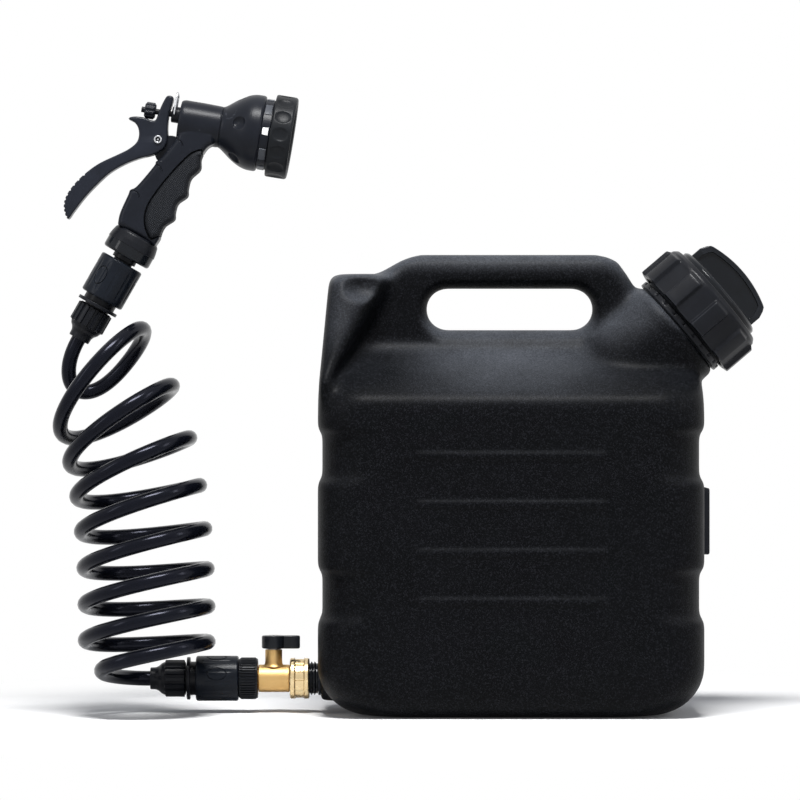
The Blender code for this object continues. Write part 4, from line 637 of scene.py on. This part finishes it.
def rod(name, radius, low, high, frame_at, steps=64):
    """A plain round cutter along a frame's Z."""
    return lathe(name, [(0, low), (radius, low), (radius, high), (0, high)], frame_at, steps, 0)


def wave(a, count, width, start=0.0, blend=0.25):
    """1 on each of count ribs of an angular width (in radians), 0 between, with sloped sides."""
    step = math.tau / count
    away = abs((a - start + step / 2) % step - step / 2)
    return ease((width / 2 * (1 + blend) - away) / (width * blend))


# Side pad: a black rubber rest, pushed into the tank's lid-side wall.
# Moulded with rounded edges and a shallow frame round its face.


def pad_row(x, grow, y=25.6, z=26.4, corner=3):
    """An upright section of the pad, grown all round."""
    row = []
    side, up = y - corner, z - corner
    for cy, cz, start in ((side, up, 0), (-side, up, 90), (-side, -up, 180), (side, -up, 270)):
        for k in range(6):
            a = math.radians(start + 18 * k)
            row.append((x * mm, (cy + (corner + grow) * math.cos(a)) * mm,
                        (153.2 + cz + (corner + grow) * math.sin(a)) * mm))
    return row


pad = loft([pad_row(*spot) for spot in ((152.85, -0.4), (153.1, 0), (157.2, 0), (158, -0.3), (158.35, -1.1),
                                        (158.35, -2.4), (157.9, -2.7), (157.9, -2.95))], "rubber_side_pad")
fit(pad, "tank", "seal_rubber", matt_rubber, "side_pad")

# Lid: a notched ring stays on the neck; a ribbed screw ring clamps a glossy cap with a grip fin.
# The screw ring is injection-moulded polypropylene with ten wide grip blocks round its skirt.


def notches(a, r, h):
    """Narrow cuts in the neck ring's upper rim."""
    return -1.5 * wave(a, 24, 0.05) if r > 43.5 and h > -4.6 else 0.0


fit(lathe("notched_neck_ring", [(41.9, -2), (44.5, -2), (44.5, -6.6), (41.9, -6.6)], neck, 240, 0.5, 0.6,
          notches), "tank", "satin_plastic", satin, "neck_ring")


def blocks(a, r, h):
    """The screw ring's grip blocks, with a slight hollow beside each."""
    if r < 47.5:
        return 0.0
    tall = min(ease((h + 0.2) / 1.2), ease((29.2 - h) / 3.2))
    first = math.radians(-7)
    return 3 * wave(a, 10, 0.28, first, 0.16) * tall - 0.35 * (1 - wave(a, 10, 0.42, first, 0.3)) * tall


lid_ring = lathe("ribbed_lid_ring", [(41.9, 33.5), (46.1, 33.5), (48.8, 30.4), (49.3, 27.2), (49.3, 0),
                                     (45.9, 0), (45.9, 29.7), (41.9, 29.7)], neck, 480, 0.7, 1.4, blocks)
fit(lid_ring, "lid_ring", "satin_plastic", satin, "lid_ring")

cap = lathe("lid_cap_shell", [(0, 38.5), (39.8, 38.5), (41.5, 36.6), (41.5, 29.4), (45.5, 29.4), (45.5, 26.4),
                              (35, 26.4), (35, 35.5), (0, 35.5)], neck, 200, 0.6)


def solid_of(curve, name, frame_at, turn=0.0):
    """Turn a curve into a closed form in a frame, after turning it about X."""
    drawn = put(curve, name)
    bpy.context.view_layer.update()
    mesh = bpy.data.meshes.new_from_object(drawn.evaluated_get(bpy.context.evaluated_depsgraph_get()))
    bpy.data.objects.remove(drawn, do_unlink=True)
    bm = bmesh.new()
    bm.from_mesh(mesh)
    bmesh.ops.remove_doubles(bm, verts=bm.verts, dist=0.00001)
    bmesh.ops.rotate(bm, verts=bm.verts, cent=(0, 0, 0), matrix=Matrix.Rotation(turn, 3, "X"))
    bmesh.ops.recalc_face_normals(bm, faces=bm.faces)
    bm.to_mesh(mesh)
    bm.free()
    made = put(mesh, name)
    made.matrix_world = frame_at
    return made


def slab_form(outline, half, soft, name, frame_at, steps=4):
    """A plate with rounded edges from an outline in a frame's X and Z, centred on its Y. Millimetres."""
    curve = poly_curve(name, [(x * mm, z * mm, 0) for x, z in outline], soft * mm, dimensions="2D",
                       fill_mode="BOTH", use_fill_caps=False, extrude=(half - soft) * mm,
                       bevel_resolution=steps, offset=-soft * mm)
    curve.splines[0].use_cyclic_u = True
    return solid_of(curve, name, frame_at, math.radians(90))


def settle(*objects):
    """Move each form's place into its mesh."""
    for obj in objects:
        obj.data.transform(obj.matrix_world)
        obj.matrix_world = Matrix.Identity(4)


def fin_line(run, foot, side, crown):
    """Outline of the grip fin: a flat foot and a crowned top with dropped ends."""
    top = [(t * run, side + (crown - side) * (1 - t * t) - 7 * max(0.0, abs(t) - 0.86) ** 2 / 0.02)
           for t in [1 - k / 18 for k in range(37)]]
    return [(-run, foot), (run, foot)] + top


fin = slab_form(fin_line(36.5, 37.4, 54.9, 62.2), 4.5, 1.2, "lid_fin", neck)
for side in (-1, 1):
    panel_at = neck @ at_point(0, side * 4.5, 0)
    cut(fin, slab_form(fin_line(31.6, 41, 52.9, 58.4), 1.9, 0.6, "fin_panel", panel_at, 3))
settle(cap, fin)
fit(cap, "cap", "gloss_plastic", gloss, "lid_cap")
fit(fin, "cap", "gloss_plastic", gloss)

# Gaskets, washers, O-rings, seats, the ball, the springs, the screw, the stem and the valve's outlet: small
# pieces that the frame already has right. Black nitrile rubber, white PTFE, chromed and cast brass, and
# spring steel, turned, moulded or coiled.
for names, material in (
        (("lid_gasket", "spigot_gasket", "hose_washer", "stem_o_ring", "adapter_washer", "adapter_o_ring",
          "gun_o_ring", "plunger_seal"), matt_rubber),
        (("near_seat", "far_seat"), pale_seat), (("valve_ball",), chrome),
        (("sleeve_spring_a", "sleeve_spring_b", "plunger_spring", "handle_screw"), bright_steel),
        (("valve_stem", "valve_outlet"), cast_brass)):
    for name in names:
        bpy.data.objects[name].material_slots[0].material = material

# Spigot: a threaded outlet of black polypropylene, seated in the tank's boss on a gasket.
# Its external garden-hose thread, 2.5 mm from crest to crest, is drawn as turned ridges.
line = at_point(-150.8, 0, 27, math.radians(-90))
ridges = [(6.2, 18.6), (12.2, 18.6)]
one_ridge = ((13.35, 17.9), (13.35, 17.2), (12.1, 16.5), (12.1, 15.6))
for k in range(6):
    ridges += [(radius, height - 2.5 * k) for radius, height in one_ridge]
ridges += [(12.1, 2.4), (10.6, 2.4), (10.6, -11), (6.2, -11)]
fit(lathe("threaded_spigot", ridges, line, 96, 0.25), "tank", "satin_plastic", gloss, "spigot")

# Swivel nut: turned and polished brass with two flanges and six low grip blocks between them.
# It turns on the valve's tail and screws on the spigot.


def nut_grip(a, r, h):
    """The grip blocks, 1.1 mm high."""
    return 1.1 * wave(a, 6, 0.44, math.radians(-80), 0.1) if r >= 14 and 13 < h < 21 else 0.0


nut = lathe("brass_swivel_nut", [(10.1, 24.8), (15.4, 24.8), (16.2, 24), (16.2, 20.9), (14.7, 20.5),
                                 (14.7, 13.5), (16.2, 13.1), (16.2, 10), (15.4, 9.2), (13.8, 9.2),
                                 (13.8, 22.7), (10.1, 22.7)], line, 192, 0.5, 1.2, nut_grip)
fit(nut, "swivel_nut", "brass", polished_brass, "swivel_nut")

# Ball valve: a cast brass body with a turned tower for the stem, and a fillet where they meet.
# The tower is one casting with the body; its bore carries the stem and O-ring.
valve = lathe("cast_valve_body", [(8.4, 49.8), (10.6, 49.8), (11, 49.4), (11, 25.6), (10.6, 25.2),
                                  (9.7, 25.2), (9.7, 22.3), (12.8, 22.3), (12.8, 20.7), (5.2, 20.7),
                                  (5.2, 29.35), (8.4, 29.35)], line, 96, 0.5)
tower_at = at_point(-188.6, 0, 27)
tower = lathe("valve_tower", [(0, 9.2), (8.6, 9.2), (7.5, 10.8), (7, 12.4), (6.8, 14.4), (6.8, 23.4),
                              (0, 23.4)], tower_at, 96, 0.5)
skirt = rod("tower_trim", 10.4, 5, 30, at_point(-188.6, 0, 20))
skirt.scale = (1, 1.02, 1)
cut(tower, skirt, "INTERSECT")
settle(valve, tower)
cut(valve, tower, "UNION")
cut(valve, rod("stem_bore", 3.5, 0, 40, tower_at))
cut(valve, rod("ball_chamber", 8.4, 29.35, 52, line, 96))
fit(valve, "tank", "brass", cast_brass, "valve_body")

# Valve handle: a moulded black lever, glossy, with a softened box shape, screwed on the stem.
# A thin bright washer is pressed in under its hub.
grip_line = [(9.6 * math.cos(math.radians(a)), 9.6 * math.sin(math.radians(a))) for a in range(30, 331, 12)]
grip_line += [(10.1, -4.9), (19, -4.7), (20.4, -4.1), (21, -2.7), (21, 2.7), (20.4, 4.1), (19, 4.7),
              (10.1, 4.9)]
lever = slab_form(grip_line, 5.2, 1.3, "moulded_lever", Matrix.Identity(4))
lever.data.transform(Matrix.Rotation(math.radians(-90), 4, "X"))
lever.matrix_world = tower_at @ at_point(0, 0, 29.1)
for radius, low, high in ((3.0, 20, 36), (3.5, 31.4, 37.4)):
    cut(lever, rod("lever_bore", radius, low, high, tower_at, 48))
handle_abs = plastic("handle_abs", "#0d0f12", "#15181d", (0.16, 0.28), level=0.16)
fit(lever, "valve_key", "satin_plastic", handle_abs, "valve_handle")
washer = lathe("pressed_washer", [(3.3, 23.75), (6, 23.75), (6, 23.45), (3.3, 23.45)], tower_at, 64, 0.1)
fit(washer, "valve_key", "steel", bright_steel)

# Tap adapter: a polypropylene nut with fine ribs and a nipple that plugs into the lower connector.
# The ribs are moulded and stop short of both rims.
nipple = [(8, -11.4), (6.4, -11.4), (6.4, -14), (8, -14), (8, -21), (6.4, -24), (5.2, -24)]


def fine_ribs(a, r, h):
    """46 ribs about 1 mm wide."""
    if r <= 15:
        return 0.0
    return wave(a, 46, 0.066, 0, 0.2) * ease((h - 0.9) / 0.5) * ease((14.7 - h) / 0.5)


adapter = lathe("ribbed_tap_adapter", [(13.8, 15.4), (15.4, 15.4), (15.7, 15), (15.7, 0.7), (15.4, 0.3),
                                       (8, 0.3), *nipple, (5.2, 4.6), (13.8, 4.6)], lower, 552, 0.4, 1.4,
                fine_ribs)
fit(adapter, "tank", "satin_plastic", satin, "tap_adapter")

# Quick connectors: one on the adapter and one under the gun, both of satin black polypropylene.
# Each has a core with a flange, a sleeve that slides back on its spring and has four oval finger grooves,
# and a ribbed clamp nut on the hose.


def clamp_ribs(a, r, h):
    """16 grip ribs that stop short of the nut's ends."""
    if r < 13.2:
        return 0.0
    return 1.4 * wave(a, 16, 0.19, 0, 0.14) * ease((-42.8 - h) / 0.6) * ease((h + 59.2) / 1.2)


def shallow_flutes(a, r, h):
    """Faint hollows along the sleeve."""
    if r <= 17.5:
        return 0.0
    return -0.35 * wave(a, 12, 0.12, 0.13, 0.4) * ease((-5 - h) / 2) * ease((h + 29) / 2)


sleeve_satin = plastic("sleeve_polypropylene", "#0c0f15", "#151a22", (0.22, 0.34), level=0.12)
core_shape = [(8.4, -2), (11.9, -2), (11.9, -27.2), (13.4, -27.2), (13.4, -38.6), (16.7, -38.6), (17, -38.9),
              (17, -40.9), (16.7, -41.2), (10.4, -41), (10.4, -58.3), (2.8, -58.3), (2.8, -28), (8.4, -28)]
sleeve_shape = [(12.3, 0), (16.8, 0), (17.9, -0.9), (18, -2), (18, -32), (17.9, -33.1), (16.8, -34),
                (13.8, -34), (13.8, -31), (16.4, -31), (16.4, -14), (12.3, -14)]
clamp_shape = [(10.8, -42.2), (12.6, -42.2), (13.3, -42.8), (13.3, -44), (13.3, -58.6), (12.1, -61.4),
               (9.9, -63.8), (8.9, -66), (8.7, -70.2), (8.3, -70.6), (6.9, -70.4), (6.35, -69.2),
               (6.35, -58.6), (10.8, -58.6)]
for tag, frame_at, body, first in (("a", lower, "sleeve_a", -15), ("b", upper, "sleeve_b", -31)):
    core = lathe("connector_core_" + tag + "_turned", core_shape, frame_at, 96, 0.3)
    fit(core, "tank", "satin_plastic", satin, "connector_core_" + tag)
    sleeve = lathe("sliding_sleeve_" + tag, sleeve_shape, frame_at, 288, 0.4, 2.0, shallow_flutes)
    tab = [(4.6 * math.sin(t) * (1.15 if abs(math.sin(t)) > 0.6 else 1), -17 + 8.2 * math.cos(t))
           for t in [math.tau * k / 28 for k in range(28)]]
    for turn in (first, first - 60, first + 120, first + 180):
        seat_at = frame_at @ Matrix.Rotation(math.radians(turn), 4, "Z") @ at_point(0, -17.6, 0)
        rim = slab_form(tab, 0.7, 0.3, "tab_groove", seat_at, 2)
        face = slab_form([(x * 0.84, (z + 17) * 0.88 - 17) for x, z in tab], 2, 0.2, "tab_face", seat_at, 2)
        cut(rim, face)
        settle(rim)
        cut(sleeve, rim)
    fit(sleeve, body, "satin_plastic", sleeve_satin, "connector_sleeve_" + tag)
    clamp = lathe("clamp_nut_" + tag + "_ribbed", clamp_shape, frame_at, 320, 0.5, 1.6, clamp_ribs)
    fit(clamp, "tank", "satin_plastic", satin, "clamp_nut_" + tag)

# Collar and nipple under the gun: the nipple plugs into the upper connector, and the glossy collar covers it.
# Both are round mouldings, polypropylene and ABS, and turn with the gun; a satin ring caps the handle's foot.
fit(lathe("gun_nipple_turned", [(5.2, 13), (10, 13), (10, 1.5), (8, 1.5), *nipple], upper, 96, 0.4),
    "gun", "satin_plastic", satin, "gun_nipple")
fit(lathe("glossy_collar", [(10.3, 24.9), (17, 24.9), (18.4, 23.2), (19.7, 18.4), (20.2, 14), (20.2, 7),
                            (19.8, 5.8), (18.6, 5), (10.3, 5)], upper, 128, 0.8), "gun", "gloss_plastic",
    gloss, "handle_collar")
fit(lathe("satin_foot_ring", [(10.2, 25.1), (17.2, 25.1), (18.8, 23.4), (20, 18.6), (20.5, 15), (20.5, 14.2),
                              (19.6, 14), (10.2, 14)], upper, 128, 0.6), "gun", "satin_plastic", satin)

# Gun body: handle, barrel and pivot lug in one satin black moulding, blended where they meet.
# Three small curled grooves run down each side near its back; the finger side is recessed for the rubber grip.
swivel_at = at_point(*swivel_point)
barrel = at_point(-264.2, 0, 473.2, math.atan2(0.987, -0.161))
plunger_at = barrel @ at_point(-4, 0, 0)
across = Matrix.Rotation(math.radians(90), 4, "X")


def eased_line(points, parts=5, closed=True):
    """A smooth line through (x, z) points."""
    out = []
    count = len(points)
    for i in range(count if closed else count - 1):
        p0, p1, p2, p3 = [Vector(points[j % count] if closed else points[min(max(j, 0), count - 1)])
                          for j in (i - 1, i, i + 1, i + 2)]
        for k in range(parts):
            t = k / parts
            out.append(tuple(0.5 * (2 * p1 + (p2 - p0) * t + (2 * p0 - 5 * p1 + 4 * p2 - p3) * t * t +
                                    (3 * p1 - p0 - 3 * p2 + p3) * t ** 3)))
    return out if closed else out + [tuple(points[-1])]


finger_side = [(30.2, 18.4), (31.4, 23.4), (34.6, 28.9), (41.6, 33.9), (42.4, 39.9), (44.8, 46.8), (52, 52.4),
               (52.8, 58.8), (55.2, 66.8), (62.4, 74), (63.2, 82.8), (68, 90.8), (73.6, 93.9)]
back_side = [(74.5, 102), (61.6, 108.4), (47.6, 104.4), (42.4, 96.4), (32, 83.6), (27.2, 80), (26, 76.8),
             (12.4, 60.8), (6.9, 57.6), (5.2, 53.6), (-1.2, 39.4), (-3.05, 30.4)]
fingers = eased_line(finger_side, 6, False)
handle_line = [(-2.4, 29.35), (26.6, 12.8)] + fingers + eased_line(back_side, 5, False)
handle = slab_form(handle_line, 15.2, 4.6, "gun_handle", swivel_at, 5)
tube_form = lathe("gun_barrel", [(0, 34), (16.2, 34), (16.5, 33), (16.9, 20), (17, 3), (16, 0), (0, 0)],
                  barrel, 96, 1.2)
lug = slab_form(eased_line([(23.6, 98), (25, 101.4), (28.8, 102.8), (32.6, 101.6), (43.6, 100.4),
                            (47.6, 92.4), (36, 84), (28.6, 81.4), (26, 86), (23.6, 92)], 3), 3, 0.5,
                "pivot_lug", swivel_at, 2)
weld(handle, tube_form)
baked(handle, "REMESH", mode="VOXEL", voxel_size=0.55 * mm)
baked(handle, "SMOOTH", factor=0.5, iterations=3)
settle(lug)
cut(handle, lug, "UNION")
core_line = [(22.4, 17), (28.2, 21.4)] + [(x - 3.4, z) for x, z in fingers[8:]]
core_line += [(60, 104), (44, 98), (32, 83.6), (26, 76.8), (14, 60.4), (9, 38)]
inlay_line = [(24.2, 17.9)] + fingers[3:-10]
inlay_line += eased_line([(64, 89.4), (60, 88.8), (53.6, 85.2), (41.6, 73.2), (29.6, 58.8), (21.6, 46.8),
                          (18.4, 37.2), (18.6, 28), (22, 19.4)], 5, False)


def grown(outline, by):
    """An outline moved outwards by one distance all round."""
    area = sum(a[0] * b[1] - b[0] * a[1] for a, b in zip(outline, outline[1:] + outline[:1]))
    side = math.copysign(by, area)
    out = []
    for i, spot in enumerate(outline):
        way = (Vector(outline[(i + 1) % len(outline)]) - Vector(outline[i - 1])).normalized()
        out.append((spot[0] + way.y * side, spot[1] - way.x * side))
    return out


relief = slab_form(grown(inlay_line, 0.5), 18, 0.1, "relief", swivel_at, 1)
cut(relief, slab_form(core_line, 11, 0.5, "core", swivel_at, 2))
cut(handle, relief)
for x, z in ((42.6, 97.6), (26, 77.3), (8, 56.6)):
    for side in (-1, 1):
        curl = []
        for t in [math.radians(-22 + 9 * k) for k in range(13)]:
            a, b = x + 6.2 * math.sin(t), z + 0.4 - 6 * (1 - math.cos(t))
            inset = min(4.6, min(math.hypot(a - q[0], b - q[1]) for q in handle_line))
            depth = 10.6 + math.sqrt(4.6 ** 2 - (4.6 - inset) ** 2)
            curl.append((a * mm, side * depth * mm, b * mm))
        cut(handle, solid_of(poly_curve("curl", curl, 0.8 * mm), "curl", swivel_at))
cut(handle, lathe("plunger_bore", [(0, -3), (5.2, -3), (5.2, 6), (8, 6), (8, 20), (9, 20), (9, 36), (0, 36)],
                  plunger_at, 64, 0))
pin_at = swivel_at @ at_point(28.8, 0, 98) @ across
cut(handle, rod("pin_bore", 2.3, -20, 20, pin_at, 48))
gun_satin = plastic("gun_abs", "#0f1117", "#191c23", (0.26, 0.38), level=0.13)
fit(handle, "gun", "satin_plastic", gun_satin, "gun_body")

# Grip overlay: soft black rubber moulded over the finger side, with finger hollows and a stippled face.
# The dots stand 1.3 mm apart, a little coarser than the real ones.
stippled, tree = new_material("stippled_rubber")
place = add(tree, "TexCoord").outputs["Object"]
turned = add(tree, "Mapping", [("Vector", place), ("Rotation", (0, math.radians(32), 0))])
dots = add(tree, "TexVoronoi", [("Vector", turned)], Scale=1000 / 1.3, Randomness=0.0)
cloud = add(tree, "TexNoise", [("Vector", place)], Scale=1000 / 12, Detail=4.0)
tone = add(tree, "Mix", [("Factor", cloud.outputs["Fac"]), (6, "#0c0d10"), (7, "#16181c")], data_type="RGBA")
crown = add(tree, "MapRange", [("Value", dots.outputs["Distance"])], From_Min=0.1, From_Max=0.5, To_Min=1.0,
            To_Max=0.0)
dot_tone = add(tree, "Mix", [("Factor", crown), (6, tone.outputs[2]), (7, "#24272d")], data_type="RGBA")
bump = add(tree, "Bump", [("Height", crown)], Strength=0.8, Distance=0.0005)
skin = add(tree, "BsdfPrincipled", [("Base Color", dot_tone.outputs[2]), ("Normal", bump)], Roughness=0.55,
           Specular_IOR_Level=0.12)
add(tree, "OutputMaterial", [("Surface", skin)])
grip = slab_form(inlay_line, 15.5, 4.0, "stippled_grip", swivel_at, 5)
cut(grip, slab_form(grown(core_line, 0.3), 11.3, 0.5, "core_room", swivel_at, 2))
fit(grip, "gun", "grip_rubber", stippled, "grip_overlay")

# Spray head: a flared satin moulding with a ring of shallow round dimples, then a narrow marking band.
# A glossy ring shows where it meets the barrel; the band has plain grey fields and a white index.
head_line = [(16.5, 34.3)]
head_line += [(16.5 + 14 * ease((k / 16) ** 0.68), 34.3 + 27 * k / 16) for k in range(1, 17)]
head_line += [(30.5, 64.8), (29.9, 66.2), (29, 66.7), (28, 66.8), (28, 73.8), (24, 73.8), (24, 62.7),
              (15, 48.3), (11, 38.3), (11, 34.3)]


def dimples(a, r, h):
    """Five round dimples, 3.4 mm deep."""
    if r < 18 or not 40 < h < 58:
        return 0.0
    side = (a + math.radians(100) + math.tau / 10) % (math.tau / 5) - math.tau / 10
    away = math.hypot(side * r, (h - 48.6) * 1.08)
    return -3.4 * max(0.0, 1 - (away / 5.4) ** 2) ** 0.75


head = lathe("dimpled_spray_head", head_line, barrel, 384, 0.4, 0.75, dimples)
fit(head, "gun", "satin_plastic", gun_satin, "spray_head")
fit(lathe("retaining_ring", [(15.8, 33.95), (16.6, 33.95), (16.6, 34.25), (15.8, 34.25)], barrel, 96, 0.1),
    "gun", "gloss_plastic", gloss)
grey_mark = plastic("grey_field", "#35383e", "#43464c", (0.3, 0.4), edge="#6d7076", level=0.2)
white_mark = plastic("white_index", "#dcdcda", "#efefec", (0.35, 0.45), edge="#ffffff", level=0.4)


def on_band(angle, out):
    """A frame that faces out of the band, at an angle round the barrel and a distance from its axis."""
    return barrel @ Matrix.Rotation(math.radians(angle), 4, "Z") @ at_point(out, 0, 70.3) @ flat_out


flat_out = Matrix.Rotation(math.radians(-90), 4, "Z")
for k in (0, 2, 3, 4, 5, 6, 7, 8):
    field = slab_form([(-5.2, -2.7), (5.2, -2.7), (5.2, 2.7), (-5.2, 2.7)], 0.6, 0.2, "grey_field_%d" % k,
                      on_band(228 + 40 * k, 27.6), 1)
    fit(field, "gun", "satin_plastic", grey_mark)
index = slab_form([(-2.8, -2.4), (2.8, -2.4), (3.1, 2.4), (-3.1, 2.4)], 0.35, 0.15, "white_index",
                  on_band(268, 27.95), 1)
fit(index, "gun", "satin_plastic", white_mark)

# Pattern dial: a black ABS ring with fourteen shallow oval recesses. It turns on the head with the spray
# plate, which is moulded with three rings of spray holes round a centre jet.


def recesses(a, r, h):
    """Fourteen oval hollows, 1.5 mm deep."""
    if r < 31:
        return 0.0
    side = (a - math.radians(90) + math.tau / 28) % (math.tau / 14) - math.tau / 28
    away = math.hypot(side * r / 5.4, (h - 82.6) / 6.6)
    return -1.5 * max(0.0, 1 - away ** 2) ** 0.6


dial = lathe("scalloped_dial", [(28, 90.8), (31, 91.8), (32.2, 91.4), (33, 90), (33, 75.4), (32.4, 74.4),
                                (22.8, 74.2), (22.8, 68.2), (20, 68.2), (20, 86.8), (28, 86.8)], barrel, 432,
             0.6, 0.9, recesses)
dial_abs = plastic("dial_abs", "#0f1113", "#191b1f", (0.32, 0.45), level=0.12)
fit(dial, "dial", "satin_plastic", dial_abs, "pattern_dial")
plate_form = lathe("spray_plate_moulded", [(0, 89.8), (3, 89.8), (4, 89.2), (24, 89.2), (25.2, 89.8),
                                           (27.7, 89.8), (27.7, 87.1), (0, 87.1)], barrel, 128, 0.3)


def pegs(name, frame_at, spots, depth, sides):
    """A set of thin cutters from (radius, frame) pairs."""
    bm = bmesh.new()
    for radius, spot_at in spots:
        bmesh.ops.create_cone(bm, cap_ends=True, segments=sides, radius1=radius * mm, radius2=radius * mm,
                              depth=depth * mm, matrix=spot_at)
    return set_down(bm, name, frame_at)


jets = [(hole, Matrix.Translation((ring * math.cos(math.tau * k / count) * mm,
                                   ring * math.sin(math.tau * k / count) * mm, 88 * mm)))
        for count, ring, hole in ((24, 21, 0.8), (16, 14.5, 0.8), (8, 8, 1.1), (1, 0, 1.5))
        for k in range(count)]
cut(plate_form, pegs("spray_holes", barrel, jets, 8, 16))
fit(plate_form, "dial", "satin_plastic", satin, "spray_plate")

# Trigger: a long moulded lever with a rolled edge, a horn over the barrel and fine ribs at its outer tip.
# It turns on a bright steel pin with a drilled centre; a black ring in each end of the bore paints the shade
# inside it.
lever_line = eased_line([(35.6, 132.2), (38.6, 133), (41, 131.4), (40.2, 126.6), (37.6, 118.4), (36.6, 108.4),
                         (36.4, 98.8), (33.6, 91), (25.6, 86), (13.6, 82.8), (1.6, 78), (-10.4, 70.8),
                         (-22.4, 59.6), (-30.4, 50.8), (-38.4, 40.4), (-43, 34.6), (-45.8, 39.6),
                         (-46.4, 46.8), (-44, 54), (-38.4, 62), (-30.4, 70), (-18.4, 78.8), (-2.4, 86.4),
                         (5.4, 90.4), (11.6, 95.6), (13.6, 101.6), (12.8, 107.6), (9.8, 111.8), (5.6, 114.2),
                         (6.6, 115.8), (11.2, 116.4), (17.6, 115.6), (23, 113.6), (26.8, 113.6),
                         (29.2, 119.4), (32.4, 126.8)], 8)
trigger = slab_form(lever_line, 8.5, 1.9, "moulded_trigger", swivel_at, 4)
tip = [(0.9, Matrix.Translation((x * mm, 0, z * mm)) @ across) for x, z in lever_line[124:162:4]]
cut(trigger, pegs("tip_grooves", swivel_at, tip, 24, 12))
cut(trigger, rod("lug_room", 8.6, -3.4, 3.4, pin_at))
cut(trigger, slab_form([(18, 70), (54.8, 70), (54.8, 103), (30.8, 103), (20, 93)], 3.4, 0.1, "lug_exit",
                       swivel_at, 1))
slot_at = plunger_at @ at_point(0, 0, -13) @ across
slot_line = ((-4.9, -17), (4.9, -17), (4.9, 17), (-4.9, 17))
cut(trigger, loft([[slot_at @ Vector((x * mm, z * mm, y * mm)) for x, z in slot_line]
                   for y in (-3.5, 3.5)], "rod_slot"))
cut(trigger, rod("trigger_bore", 2.3, -20, 20, pin_at, 48))
trigger_abs = plastic("trigger_abs", "#15181e", "#20232c", (0.24, 0.36), level=0.14)
fit(trigger, "trigger", "satin_plastic", trigger_abs, "trigger")
fit(lathe("drilled_pin", [(0, 8.2), (1.9, 8.2), (1.9, 9.6), (2.2, 9.9), (3.1, 9.8), (3.3, 9.4), (3.3, 8.8),
                          (2, 8.8), (2, -8.8), (3.3, -8.8), (3.3, -9.4), (3.1, -9.8), (2.2, -9.9),
                          (1.9, -9.6), (1.9, -8.2), (0, -8.2)], pin_at, 64, 0.15), "gun", "steel",
    bright_steel, "trigger_pin")
# A black ring in each end of the pin's bore: painted shade that darkens the hollow round a bright centre.
for side in (-1, 1):
    fit(lathe("pin_oxide", [(0.7, 8.25 * side), (1.88, 8.25 * side), (1.88, 8.9 * side), (0.7, 8.9 * side)],
              pin_at, 48, 0.05), "gun", "steel", matt_rubber)

# Plunger, gland and flow knob: turned plastic parts on the plunger's axis behind the barrel.
# The knob is scalloped for the fingers and screws along the plunger's stub.
fit(lathe("turned_plunger", [(0, 17.5), (6.6, 17.5), (6.6, 15.8), (2.3, 15.8), (2.3, -31.2), (0, -31.2)],
          plunger_at, 64, 0.3), "plunger", "satin_plastic", satin, "plunger")
fit(lathe("turned_gland", [(2.6, 5), (4.9, 5), (4.9, -0.3), (6.5, -0.3), (6.5, -6), (5.6, -6.6), (2.6, -6.6)],
          plunger_at, 96, 0.3), "gun", "satin_plastic", satin, "plunger_gland")


def scallops(a, r, h):
    """Ten finger ribs round the knob."""
    if r <= 5.3:
        return 0.0
    return 0.8 * wave(a, 10, 0.32, 0, 0.4) * ease((-20.3 - h) / 0.8) * ease((h + 27.9) / 0.8)


fit(lathe("scalloped_knob", [(2.6, -19.7), (5.2, -19.7), (5.9, -20.7), (5.9, -27.5), (5.1, -28.5),
                             (2.6, -28.5)], plunger_at, 200, 0.3, 0.8, scallops), "knob", "satin_plastic",
    gun_satin, "flow_knob")

# Wire bail: bright steel wire 1.8 mm thick, bent to a U with its ends turned in.
# It hooks in the gland behind the barrel and rocks over the trigger.
bail_at = plunger_at @ at_point(0, 0, -4.2)
wire = [(0, -6.8), (0, -9.2)]
wire += [(-1.2 + 1.2 * math.cos(t), -9.2 - math.sin(t)) for t in (0.5, 1.0, 1.57)] + [(-14, -10.0)]
wire += [(-14 - 3 * math.sin(t), -7 - 3 * math.cos(t)) for t in (0.3, 0.6, 0.9, 1.2, 1.57)]
wire += [(x, -y) for x, y in wire[::-1]]
bail = put(poly_curve("wire_bail", [(x * mm, y * mm, 0) for x, y in wire], 0.9 * mm, bevel_resolution=6),
           "wire_bail")
bail.matrix_world = bail_at
bail.data.materials.append(bright_steel)
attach(bail, "bail")
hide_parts("hold_open_bail")
